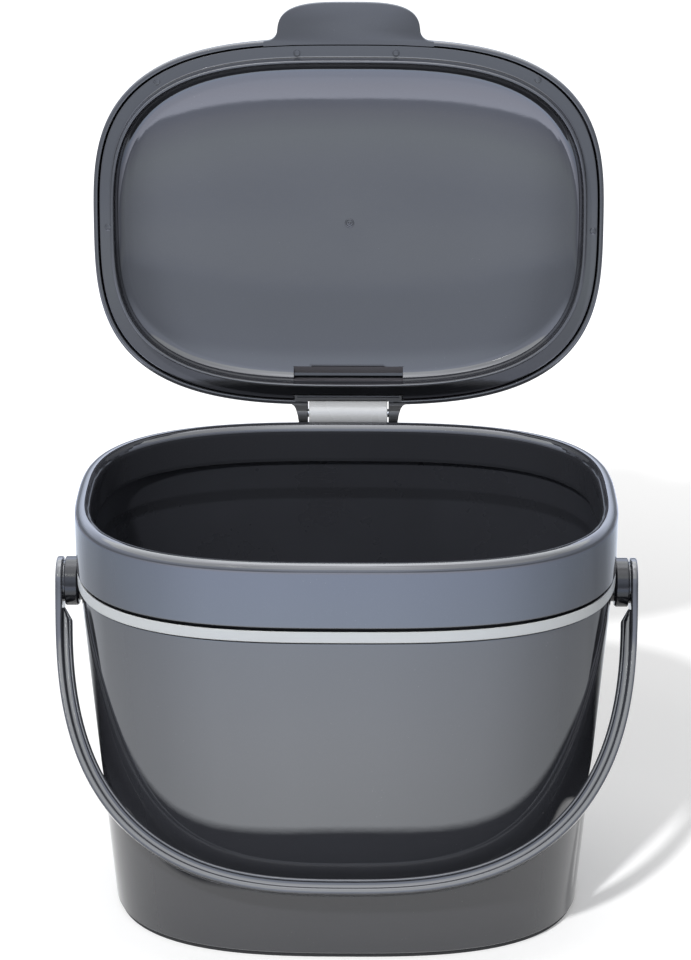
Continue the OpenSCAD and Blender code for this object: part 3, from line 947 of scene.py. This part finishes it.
panel = {
    "flangeZ": 204.3,
    "edge": 3.0,
    "ribOut": 8.8,
    "ribWall": 1.6,
    "ribDrop": 8.4,
    "ribDeeper": 1.0,
    "ribForward": 0.85,
    "thickness": 2.0,
    "bowlInset": 13.0,
    "bowlEdge": 3.9,
    "bowlDepth": 5.6,
    "bowlStart": 2.3,
    "bowlBegin": 6.6,
    "bowlCurve": 4.56,
    "pocketInset": 18.9,
    "pocketHalf": 26.9,
}

mouldMarks = {
    "radius": 1.9,
    "height": 0.3,
    "spots": [(-24.7, -82.3), (22.6, -82.4), (-91.9, -68.4), (90.7, -69.7), (-116.8, 2.0), (118.7, 3.4)],
    "gate": (0.5, 0.8),
}


def instanceTree():
    # sets one small part at every point, turned by the point's "facing"
    tree, inlet, outlet = growTree("setOutParts", [("Part", "NodeSocketObject"), ("Size", "NodeSocketFloat"),
                                                   ("Material", "NodeSocketMaterial")])
    part = newNode(tree, "GeometryNodeObjectInfo", {"Object": inlet.outputs["Part"]})
    turn = newNode(tree, "FunctionNodeEulerToRotation", {0: attributeNode(tree, "facing", "FLOAT_VECTOR")})
    onPoints = newNode(tree, "GeometryNodeInstanceOnPoints", {
        "Points": inlet.outputs["Geometry"], "Instance": part.outputs["Geometry"], "Rotation": turn.outputs[0],
        "Scale": inlet.outputs["Size"]})
    finishTree(tree, onPoints.outputs[0], inlet, outlet)
    return tree


setOutParts = instanceTree()


def setOut(name, part, spots, facings, material, size=1.0):
    piece = newMesh(name, [Vector(s) * mm for s in spots], [])
    pointValues(piece, "facing", [v for f in facings for v in f], "FLOAT_VECTOR")
    modifier = piece.modifiers.new("parts", "NODES")
    modifier.node_group = setOutParts
    setInputs(modifier, {"Part": part, "Size": size, "Material": material})
    done = settle(piece, name)
    old = part.data
    bpy.data.objects.remove(part)
    bpy.data.meshes.remove(old)
    return done


def ribRing(ring):
    # the rib and all inside it stand a little further from the hinge than from the front
    insetX, insetY, level, square, worn = ring
    grow = smoothStep(insetY, 3.5, 8.0)
    fade = 1 - smoothStep(insetY, 30, 89)
    return insetX, insetY + panel["ribDeeper"] * grow * fade, level, square, worn, -panel["ribForward"] * grow * fade


def makePanel():
    a, b, n = lid["halfWidth"], lid["halfDepth"], lid["squareness"]
    p = panel
    z = p["flangeZ"]
    ribIn = p["ribOut"] + p["ribWall"]
    ribZ = z - p["ribDrop"]
    top = z + p["thickness"]
    bowlIn = ribIn + p["bowlInset"]
    # the bowl is steepest beside the rib and flattens evenly towards the middle
    under = []
    for j in range(41):
        k = (j / 40) ** 0.8
        deep = (1 - math.exp(-p["bowlCurve"] * (1 - k))) / (1 - math.exp(-p["bowlCurve"]))
        level = z + p["bowlStart"] + (p["bowlDepth"] - p["bowlStart"]) * deep
        begin = ribIn + p["bowlBegin"]
        under.append((a - k * (a - begin), b - k * (b - begin), level, n - 0.3 * (1 - k), 0.0))
    run = filletedRun([
        (ribIn + p["bowlBegin"], z + p["bowlStart"], 0), (ribIn + 0.35, z + p["bowlStart"] - 1.3, 5.7),
        (ribIn - 0.1, ribZ, 0.5), (p["ribOut"] + 0.35, ribZ, 0.5), (p["ribOut"] - 0.35, z, 0.6), (p["edge"], z, 0.25),
        (p["edge"], top, 0.3), (p["edge"] + 2, top, 0), (ribIn + 4.6, top + 2.3, 6), (bowlIn, top + p["bowlEdge"], 0)], stepDegrees=9)
    above = domeRings(a, b, bowlIn, top + p["bowlEdge"], top + p["bowlDepth"], n, 8, False)
    rings = [ribRing(r) for r in under + plainRings(run[1:-1], n) + above]
    shell = tidyMesh(loftShell("lidPanel", rings, panelPlastic, a, b, lid["centreY"], squareness=n), panelPlastic)
    back = lid["centreY"] + lid["halfDepth"]
    w = bracket["width"] / 2
    gap = 0.45
    wide, near = w + gap, back - bracket["inset"] - gap
    shell = cut(shell, prism("notch", [(-wide, near), (wide, near), (wide, back + 2), (-wide, back + 2)], z - 2, z + 10))
    # the pocket deepens towards the rib and ends at a ledge
    low, high = back - p["pocketInset"], back - ribIn - 2.6
    wedge = [(low - 4, z + 0.45), (high - 0.8, z + 4.7), (high, z + 4.3), (high + 0.5, ribZ - 3), (low - 4, ribZ - 3)]
    pocket = prism("pocket", wedge[::-1], -p["pocketHalf"], p["pocketHalf"], "X")
    pocket = tidyMesh(pocket, panelPlastic)
    shell = cut(shell, pocket)
    # its face is matt, and painted lighter and warmer than the panel: painted light on the recess
    shell.data.materials.append(pocketPlastic)
    for face in shell.data.polygons:
        spot = face.center / mm
        inside = abs(spot.x) < p["pocketHalf"] + 0.1 and low - 0.1 < spot.y < high + 0.2 and spot.z > z + 0.4
        if inside and face.normal.z < 0.3:
            face.material_index = len(shell.data.materials) - 1
    return creased(shell)


def makeMarks():
    z = panel["flangeZ"]
    r, h = mouldMarks["radius"], mouldMarks["height"]
    run = filletedRun([(0, -h, 0), (r * 0.72, -h, 0.05), (r * 0.8, -h * 0.2, 0.05), (r, -h * 0.2, 0.03), (r, 0.4, 0)])
    button = lathe("button", run, panelPlastic, (0, 0, 0), (0, 0, 1), 28)
    spots = [(x, y, z) for x, y in mouldMarks["spots"]]
    marks = setOut("ejectorMarks", button, spots, [(0, 0, 0)] * len(spots), panelPlastic)
    x, y = mouldMarks["gate"]
    level = z + panel["bowlDepth"]
    gate = lathe("gateMark", filletedRun([(0, -0.75, 0), (0.55, -0.7, 0.2), (0.75, -0.05, 0.15), (1.45, 0.05, 0.1), (1.7, -0.35, 0.1),
                                          (2.15, -0.3, 0.12), (2.45, 0.25, 0)], longest=2),
                 panelPlastic, (x, y, level), (0, 0, 1), 40)
    return [marks, gate]


lidPanel = turnLid(joined("lidPanel", [makePanel()] + makeMarks()))
place(lidPanel, "lid", "charcoal_plastic", "lid_panel")
print("lid panel:", len(lidPanel.data.polygons), "faces")


# ---- hubs

hub = {
    "foot": 121.6,
    "out": 131.8,
    "radius": 11.5,
    "neck": 9.0,
    "bore": 4.05,
    "flange": 125.4,
}


def makeHubs():
    h = hub
    run = filletedRun([
        (h["bore"], h["foot"], 0), (h["neck"], h["foot"], 0.2), (h["neck"], h["flange"], 0.4), (h["radius"] - 0.7, h["flange"], 0.3),
        (h["radius"], h["flange"] + 0.8, 0.4), (h["radius"], h["out"], 0.55), (h["bore"], h["out"], 0.4), (h["bore"], h["foot"], 0)])
    part = lathe("hubPart", run, hubPlastic, (0, 0, 0), (0, 0, 1), 96)
    z = caddy["pivotZ"]
    return setOut("handleHubs", part, [(0, 0, z), (0, 0, z)], [(0, math.pi / 2, 0), (0, -math.pi / 2, 0)], hubPlastic)


handleHubs = tidyMesh(makeHubs(), hubPlastic, 40)
place(handleHubs, "bucket_body", "charcoal_plastic", "hub_left", "hub_right")
print("hubs")


# ---- bail handle

bail = {
    "halfSpan": 136.0,
    "reach": 147.7,
    "squareness": 2.7,
    "tilt": 38.0,
    "plate": 11.5,
    "strapHalf": 4.5,
    "strapDepth": 3.0,
    "plateDepth": 3.25,
    "neckStart": 3.8,
    "neckEnd": 42.0,
    "neckSlope": -0.35,
    "webHalf": 1.8,
    "beadHalf": 2.8,
    "bead": 1.9,
    "ribDepth": 7.62,
    "ribStart": 11.8,
    "ribFull": 19.5,
    "stub": 4.0,
    "stubIn": 124.8,
    "boss": 9.8,
    "bossIn": 132.0,
    "stations": 240,
}


def bailTree():
    tree, inlet, outlet = growTree("bailSweep", [
        ("Half Span", "NodeSocketFloat"), ("Reach", "NodeSocketFloat"), ("Squareness", "NodeSocketFloat"),
        ("Tilt", "NodeSocketFloat"), ("Pivot Z", "NodeSocketFloat"), ("Material", "NodeSocketMaterial")])
    turn = attributeNode(tree, "turn")
    square, span, reach = [inlet.outputs[name] for name in ("Squareness", "Half Span", "Reach")]
    power = mathNode(tree, "DIVIDE", 2.0, square)
    x = multiplied(tree, roundPower(tree, mathNode(tree, "COSINE", turn), power), span)
    y = multiplied(tree, roundPower(tree, mathNode(tree, "SINE", turn), power), reach)
    order = mathNode(tree, "SUBTRACT", square, 1.0)
    gradX = mathNode(tree, "DIVIDE", roundPower(tree, mathNode(tree, "DIVIDE", x, span), order), span)
    gradY = mathNode(tree, "DIVIDE", roundPower(tree, mathNode(tree, "DIVIDE", y, reach), order), reach)
    unit = vectorNode(tree, "NORMALIZE", combineNode(tree, x=gradX, z=multiplied(tree, gradY, -1.0)))
    inward = newNode(tree, "ShaderNodeVectorMath", operation="SCALE")
    tree.links.new(unit, inward.inputs[0])
    tree.links.new(multiplied(tree, attributeNode(tree, "depth"), -1.0), inward.inputs["Scale"])
    spot = combineNode(tree, x=x, y=attributeNode(tree, "across"),
                       z=mathNode(tree, "SUBTRACT", attributeNode(tree, "rise"), y))
    swing = newNode(tree, "ShaderNodeVectorRotate", {
        "Vector": vectorNode(tree, "ADD", spot, inward.outputs[0]),
        "Angle": multiplied(tree, inlet.outputs["Tilt"], -math.pi / 180)}, rotation_type="X_AXIS")
    up = vectorNode(tree, "ADD", swing.outputs[0], combineNode(tree, z=inlet.outputs["Pivot Z"]))
    moveAndWeld(tree, up, inlet, outlet)
    return tree


bailSweep = bailTree()


def bailTurns(count):
    # angles that space the stations evenly along the bail, from the right pivot to the left one
    turns = evenTurns(bail["halfSpan"], bail["reach"], bail["squareness"], 2 * count)
    return turns[:count + 1]


def bailDrop(turn):
    return bail["reach"] * signedPower(math.sin(turn), 2 / bail["squareness"])


def strapHalf(drop):
    # the strap's half width: it narrows from the round end plate
    k = bail
    start = math.sqrt(k["plate"] ** 2 - k["neckStart"] ** 2)
    t = max(0.0, min(1.0, (drop - k["neckStart"]) / (k["neckEnd"] - k["neckStart"])))
    h00 = 2 * t ** 3 - 3 * t ** 2 + 1
    h10 = t ** 3 - 2 * t ** 2 + t
    return h00 * start + h10 * k["neckSlope"] * (k["neckEnd"] - k["neckStart"]) + (1 - h00) * k["strapHalf"]


def sweepBail(name, stations):
    # stations are lists of (turn, depth, across, rise, rounded), all of one length and going round the section
    n = len(stations[0])
    m = len(stations)
    faces = []
    for j in range(m - 1):
        for i in range(n):
            k = (i + 1) % n
            faces.append((j * n + i, j * n + k, (j + 1) * n + k, (j + 1) * n + i))
    faces.append(tuple(range(n))[::-1])
    faces.append(tuple((m - 1) * n + i for i in range(n)))
    flat = [p for s in stations for p in s]
    piece = newMesh(name, [(p[0], p[1] * mm, p[2] * mm) for p in flat], faces)
    pointValues(piece, "turn", [p[0] for p in flat])
    for slot, label in ((1, "depth"), (2, "across"), (3, "rise")):
        pointValues(piece, label, [p[slot] * mm for p in flat])
    pointValues(piece, "rounding", [p[4] for p in flat])
    modifier = piece.modifiers.new("sweep", "NODES")
    modifier.node_group = bailSweep
    setInputs(modifier, {"Half Span": bail["halfSpan"] * mm, "Reach": bail["reach"] * mm, "Squareness": bail["squareness"],
                         "Tilt": bail["tilt"], "Pivot Z": caddy["pivotZ"] * mm, "Material": handlePlastic})
    return settle(piece, name)


def strapPoints(depth):
    # half the strap's section from the middle of the outer face to the middle of the inner one: (depth, edge inset, share)
    return [(0.0, 0.9, 0.0), (0.0, 0.9, 0.5), (0.02, 0.9, 0.85), (0.05, 0.9, 1), (0.12, 0.55, 1), (0.3, 0.25, 1), (0.6, 0.06, 1),
            (0.95, 0.0, 1), (1.4, 0.0, 1), (depth - 0.9, 0.0, 1), (depth - 0.5, 0.06, 1), (depth - 0.2, 0.25, 1), (depth - 0.06, 0.5, 1),
            (depth, 0.8, 1), (depth, 0.8, 0.8), (depth, 0.8, 0.4), (depth, 0.8, 0.0)]


def ringFromHalf(half):
    return half + [(t, d, -a, r, w) for t, d, a, r, w in reversed(half[1:-1])]


def makeBail():
    k = bail
    plateEnd = math.acos(-k["neckStart"] / k["plate"])
    ends = []
    for step in range(15):
        angle = plateEnd * step / 14
        half = []
        for depth, inset, share in strapPoints(k["plateDepth"]):
            r = k["plate"] - inset
            half.append((depth, share * r * math.sin(angle), r * math.cos(angle), 1.0 if 0 < inset < 0.9 else 0.0))
        ends.append(half)
    stations = [ringFromHalf([(0.0, d, a, r, w) for d, a, r, w in half]) for half in ends]
    for turn in bailTurns(k["stations"]):
        drop = bailDrop(turn)
        if drop < k["neckStart"] + 0.3:
            continue
        wide = strapHalf(drop)
        depth = k["strapDepth"] + (k["plateDepth"] - k["strapDepth"]) * (1 - smoothStep(drop, 11, 24))
        stations.append(ringFromHalf([(turn, d, share * (wide - inset), 0.0, 1.0 if 0 < inset < 0.9 else 0.0)
                                      for d, inset, share in strapPoints(depth)]))
    stations += [ringFromHalf([(math.pi, d, a, r, w) for d, a, r, w in half]) for half in reversed(ends)]
    strap = tidyMesh(sweepBail("bailStrap", stations), handlePlastic, 50)
    rib = []
    for turn in bailTurns(k["stations"]):
        drop = bailDrop(turn)
        if drop < k["ribStart"]:
            continue
        grow = max(0.0, min(1.0, (drop - k["ribStart"]) / (k["ribFull"] - k["ribStart"])))
        root = k["strapDepth"] - 0.5
        deep = root + 0.9 + grow * (k["ribDepth"] - root - 0.9)
        bead = 0.8 + grow * (k["bead"] - 0.8)
        b, w = k["beadHalf"], k["webHalf"]
        half = [(root, 0.0, 0), (root, w + 0.5, 0), (root + 0.55, w + 0.45, 0), (root + 0.75, w + 0.18, 0), (root + 1.1, w, 0),
                (deep - bead - 0.1, w, 0), (deep - bead + 0.1, w + 0.15, 0)]
        half += [(deep - share * bead, b - inset, worn) for share, inset, worn in (
            (0.86, 0.35, 0.5), (0.72, 0.08, 1), (0.55, 0, 1), (0.38, 0.08, 1), (0.22, 0.35, 1), (0.1, 0.8, 0.5), (0.02, 1.5, 0))]
        half.append((deep, 0.0, 0))
        half = [(turn, max(d, root), a, 0.0, worn) for d, a, worn in half]
        rib.append(ringFromHalf(half))
    web = tidyMesh(sweepBail("bailRib", rib), handlePlastic, 50)
    stubs = []
    for side in (-1, 1):
        run = filletedRun([(0, k["stubIn"], 0), (k["stub"], k["stubIn"], 0.6), (k["stub"], k["bossIn"], 0.1),
                           (k["boss"], k["bossIn"], 0.2), (k["boss"], k["halfSpan"] - 2.5, 0), (0, k["halfSpan"] - 2.5, 0)])
        stubs.append(lathe("stub", run, handlePlastic, (0, 0, caddy["pivotZ"]), (side, 0, 0), 48))
    return joined("bailHandle", [strap, web] + stubs)


bailHandle = makeBail()
place(bailHandle, "handle_body", "charcoal_plastic", "handle")
print("handle:", len(bailHandle.data.polygons), "faces")


# ---- studio

studio = {
    "floorSize": 14.0,
    "floorWhite": 0.86,
    "cameraLiftNear": 0.22,
    "cameraLiftFar": 0.66,
    "cameraLiftReach": (0.25, 0.9),
    "tableCentre": (0.005, 0.054),
    "tableReach": (0.286, 0.235),
    "tableEdge": 0.80,
    "tableGlow": 0.3,
    "tableBehind": 0.3,
    "behindTurns": (90, 118),
    "gapEnd": (0.985, 1.015),
    "gapTurns": (112, 152),
    "tableNearer": 0.25,
    "nearerTurns": (56, 98),
    "sweepEnd": (6.7, 6.95),
    # what gloss sees on the floor: (distance in table sizes, red, green, blue)
    "floorGlow": [(0.9, 2.85, 2.95, 3.05), (1.3, 3.1, 3.25, 3.5), (1.7, 2.95, 3.2, 3.65), (2.1, 3.1, 3.6, 4.5), (2.6, 3.0, 3.5, 4.7),
                  (3.5, 3.1, 3.35, 4.2), (4.8, 3.4, 3.55, 4.3), (6.7, 3.7, 3.9, 4.7), (6.95, 1.2, 1.32, 1.68), (8.0, 1.3, 1.4, 1.75),
                  (9.5, 1.5, 1.6, 1.9), (15.0, 1.8, 1.98, 2.2), (22.0, 1.75, 1.9, 2.2), (30.0, 1.4, 1.55, 1.9)],
    # what it sees above the floor: (degrees up, red, green, blue)
    "skyGlow": [(0.0, 1.45, 1.6, 1.9), (8.0, 1.5, 1.65, 2.0), (13.0, 1.85, 2.05, 2.45), (22.0, 2.1, 2.3, 2.8), (38.0, 2.3, 2.5, 3.05),
                (42.0, 3.8, 3.95, 4.1), (57.0, 3.8, 3.95, 4.1), (66.0, 4.2, 4.3, 4.6), (74.0, 5.4, 5.5, 5.8), (90.0, 5.4, 5.5, 5.8)],
    # share of that by heading, in degrees from the front, left first
    "nearTurns": [(-180, 0.34), (-150, 0.30), (-115, 0.30), (-97, 0.36), (-87, 0.36), (-62, 0.49), (-40, 0.64),
                  (-22, 0.84), (-8, 0.89), (2, 0.86), (10, 0.80), (22, 0.72), (40, 0.52), (62, 0.36), (87, 0.26),
                  (97, 0.20), (115, 0.18), (150, 0.30), (180, 0.34)],
    "farTurns": [(-180, 0.35), (-90, 0.45), (-22, 0.62), (-8, 0.68), (-3, 0.92), (0, 0.97), (3, 0.92), (8, 0.64),
                 (22, 0.50), (90, 0.36), (180, 0.35)],
    "highTurns": [(-180, 1.4), (-90, 0.85), (-22, 0.75), (-6, 1.0), (6, 1.0), (22, 0.72), (90, 0.55), (180, 1.4)],
    "worldFill": 0.42,
    "keySpot": (-0.60, -1.45, 1.85),
    "lampAim": (0.0, 0.05, 0.10),
    "keySize": 0.14,
    "keyPower": 31.0,
    "keyGloss": 9.0,
    "softSpot": (0.05, 0.25, 2.0),
    "softSize": 1.3,
    "softPower": 9.0,
    "lens": 107.61,
    "lensShift": -0.00122,
    "cameraSpot": (0.01035, -1.23525, 0.69831),
    "cameraLook": (-0.00778, 0.92923, -0.36943),
}


rampFull = 5  # the level that a ramp's 1 stands for


def rampNode(tree, value, low, high, stops):
    # a level or colour that changes along a distance or an angle, held at a fraction so that it stays below 1
    node = newNode(tree, "ShaderNodeValToRGB", {0: rangeNode(tree, value, low, high, 0, 1)})
    ramp = node.color_ramp
    while len(ramp.elements) < len(stops):
        ramp.elements.new(0.5)
    for i, stop in enumerate(stops):
        ramp.elements[i].position = (stop[0] - low) / (high - low)
    for i, stop in enumerate(stops):
        levels = stop[1:] if len(stop) > 2 else [stop[1]] * 3
        ramp.elements[i].color = (*[v / rampFull for v in levels], 1)
    return node.outputs[0]


def headingNode(tree, across, along):
    # degrees from the front, left first
    turn = mathNode(tree, "ARCTAN2", across, multiplied(tree, along, -1.0))
    return multiplied(tree, turn, 180 / math.pi)


def glowShader(tree, kind, colour, factor):
    return newNode(tree, kind, {"Color": colour, "Strength": factor}).outputs[0]


def mixShader(tree, amount, first, second):
    return newNode(tree, "ShaderNodeMixShader", {0: amount, 1: first, 2: second}).outputs[0]


def makeFloor():
    half = studio["floorSize"] / 2
    floor = newMesh("studioFloor", [(-half, -half, 0), (half, -half, 0), (half, half, 0), (-half, half, 0)], [(0, 1, 2, 3)])
    material = bpy.data.materials.new("studioWhite")
    material.use_nodes = True
    tree = material.node_tree
    tree.nodes.clear()
    k = studio
    matt = newNode(tree, "ShaderNodeBsdfDiffuse", {"Color": (*[k["floorWhite"]] * 3, 1)}).outputs[0]
    where = objectPlace(tree)
    path = newNode(tree, "ShaderNodeLightPath").outputs
    # the paper's white, as the camera sees it
    out = newNode(tree, "ShaderNodeVectorMath", {0: where}, operation="LENGTH").outputs["Value"]
    rise = rangeNode(tree, out, *k["cameraLiftReach"], k["cameraLiftNear"], k["cameraLiftFar"])
    glossy = multiplied(tree, path["Is Glossy Ray"], k["tableGlow"])
    lift = newNode(tree, "ShaderNodeEmission", {
        "Strength": mathNode(tree, "ADD", multiplied(tree, path["Is Camera Ray"], rise), glossy)}).outputs[0]
    seen = newNode(tree, "ShaderNodeAddShader", {0: matt, 1: lift}).outputs[0]
    # what the gloss sees past the table's edge: a gap, then the bright sweep in front, dimmer to the sides and further out
    spot = newNode(tree, "ShaderNodeSeparateXYZ", {0: where}).outputs
    across, along = [mathNode(tree, "DIVIDE", mathNode(tree, "SUBTRACT", spot[axis], middle), reach)
                     for axis, middle, reach in zip("XY", k["tableCentre"], k["tableReach"])]
    squares = [mathNode(tree, "POWER", mathNode(tree, "ABSOLUTE", side), 2.0) for side in (across, along)]
    far = mathNode(tree, "SQRT", mathNode(tree, "ADD", *squares))
    heading = headingNode(tree, across, along)
    turned = mathNode(tree, "ABSOLUTE", heading)
    behind = rangeNode(tree, turned, *k["behindTurns"], 0, k["tableBehind"], True)
    beyond = mathNode(tree, "MAXIMUM", rangeNode(tree, mathNode(tree, "SUBTRACT", far, behind), *k["gapEnd"], 0, 1),
                      rangeNode(tree, turned, *k["gapTurns"], 0, 1, True))
    nearer = rangeNode(tree, turned, *k["nearerTurns"], 0, k["tableNearer"], True)
    past = rangeNode(tree, mathNode(tree, "ADD", far, nearer), k["tableEdge"] - 0.01, k["tableEdge"] + 0.01, 0, 1)
    share = mixColour(tree, rangeNode(tree, far, *k["sweepEnd"], 0, 1), rampNode(tree, heading, -180, 180, k["nearTurns"]),
                      rampNode(tree, heading, -180, 180, k["farTurns"]))
    strength = multiplied(tree, multiplied(tree, share, beyond), rampFull ** 2)
    sweep = glowShader(tree, "ShaderNodeEmission", rampNode(tree, far, 0, 32, k["floorGlow"]), strength)
    newNode(tree, "ShaderNodeOutputMaterial", {
        "Surface": mixShader(tree, multiplied(tree, past, path["Is Glossy Ray"]), seen, sweep)})
    floor.data.materials.append(material)


def makeWorld():
    world = bpy.data.worlds.new("studioWorld")
    scene.world = world
    world.use_nodes = True
    tree = world.node_tree
    tree.nodes.clear()
    path = newNode(tree, "ShaderNodeLightPath").outputs
    look = newNode(tree, "ShaderNodeTexCoord").outputs["Generated"]
    sides = newNode(tree, "ShaderNodeSeparateXYZ", {0: look}).outputs
    height = multiplied(tree, mathNode(tree, "ARCSINE", sides["Z"]), 180 / math.pi)
    heading = headingNode(tree, sides["X"], sides["Y"])
    share = mixColour(tree, rangeNode(tree, height, 10, 25, 0, 1), rampNode(tree, heading, -180, 180, studio["farTurns"]),
                      rampNode(tree, heading, -180, 180, studio["highTurns"]))
    glow = glowShader(tree, "ShaderNodeBackground", rampNode(tree, height, 0, 90, studio["skyGlow"]),
                      multiplied(tree, share, rampFull ** 2))
    camera = multiplied(tree, path["Is Camera Ray"], 1.0 - studio["worldFill"])
    plain = newNode(tree, "ShaderNodeBackground", {
        "Color": (1, 1, 1, 1), "Strength": mathNode(tree, "ADD", camera, studio["worldFill"])}).outputs[0]
    newNode(tree, "ShaderNodeOutputWorld", {"Surface": mixShader(tree, path["Is Glossy Ray"], plain, glow)})


def makeLamp(name, spot, aim, size, power, inGloss):
    light = bpy.data.lights.new(name, "AREA")
    light.shape = "DISK"
    light.size = size
    light.energy = power
    lamp = bpy.data.objects.new(name, light)
    scene.collection.objects.link(lamp)
    lamp.location = spot
    lamp.rotation_euler = (Vector(aim) - Vector(spot)).to_track_quat("-Z", "Y").to_euler()
    lamp.visible_camera = False
    lamp.visible_glossy = inGloss


def makeCamera():
    view = bpy.data.cameras.new("view")
    view.lens = studio["lens"]
    view.sensor_width = 36.0
    view.shift_x = studio["lensShift"]
    view.clip_end = 50
    camera = bpy.data.objects.new("view", view)
    scene.collection.objects.link(camera)
    camera.location = studio["cameraSpot"]
    camera.rotation_euler = Vector(studio["cameraLook"]).to_track_quat("-Z", "Y").to_euler()
    scene.camera = camera


makeFloor()
makeWorld()
for lampName, kind, power, inGloss in (("keyLamp", "key", "keyPower", False), ("keyGlossLamp", "key", "keyGloss", True),
                                       ("softLamp", "soft", "softPower", False)):
    makeLamp(lampName, studio[kind + "Spot"], studio["lampAim"], studio[kind + "Size"], studio[power], inGloss)
makeCamera()
scene.view_settings.view_transform = "Standard"
print("studio")

bpy.context.view_layer.update()
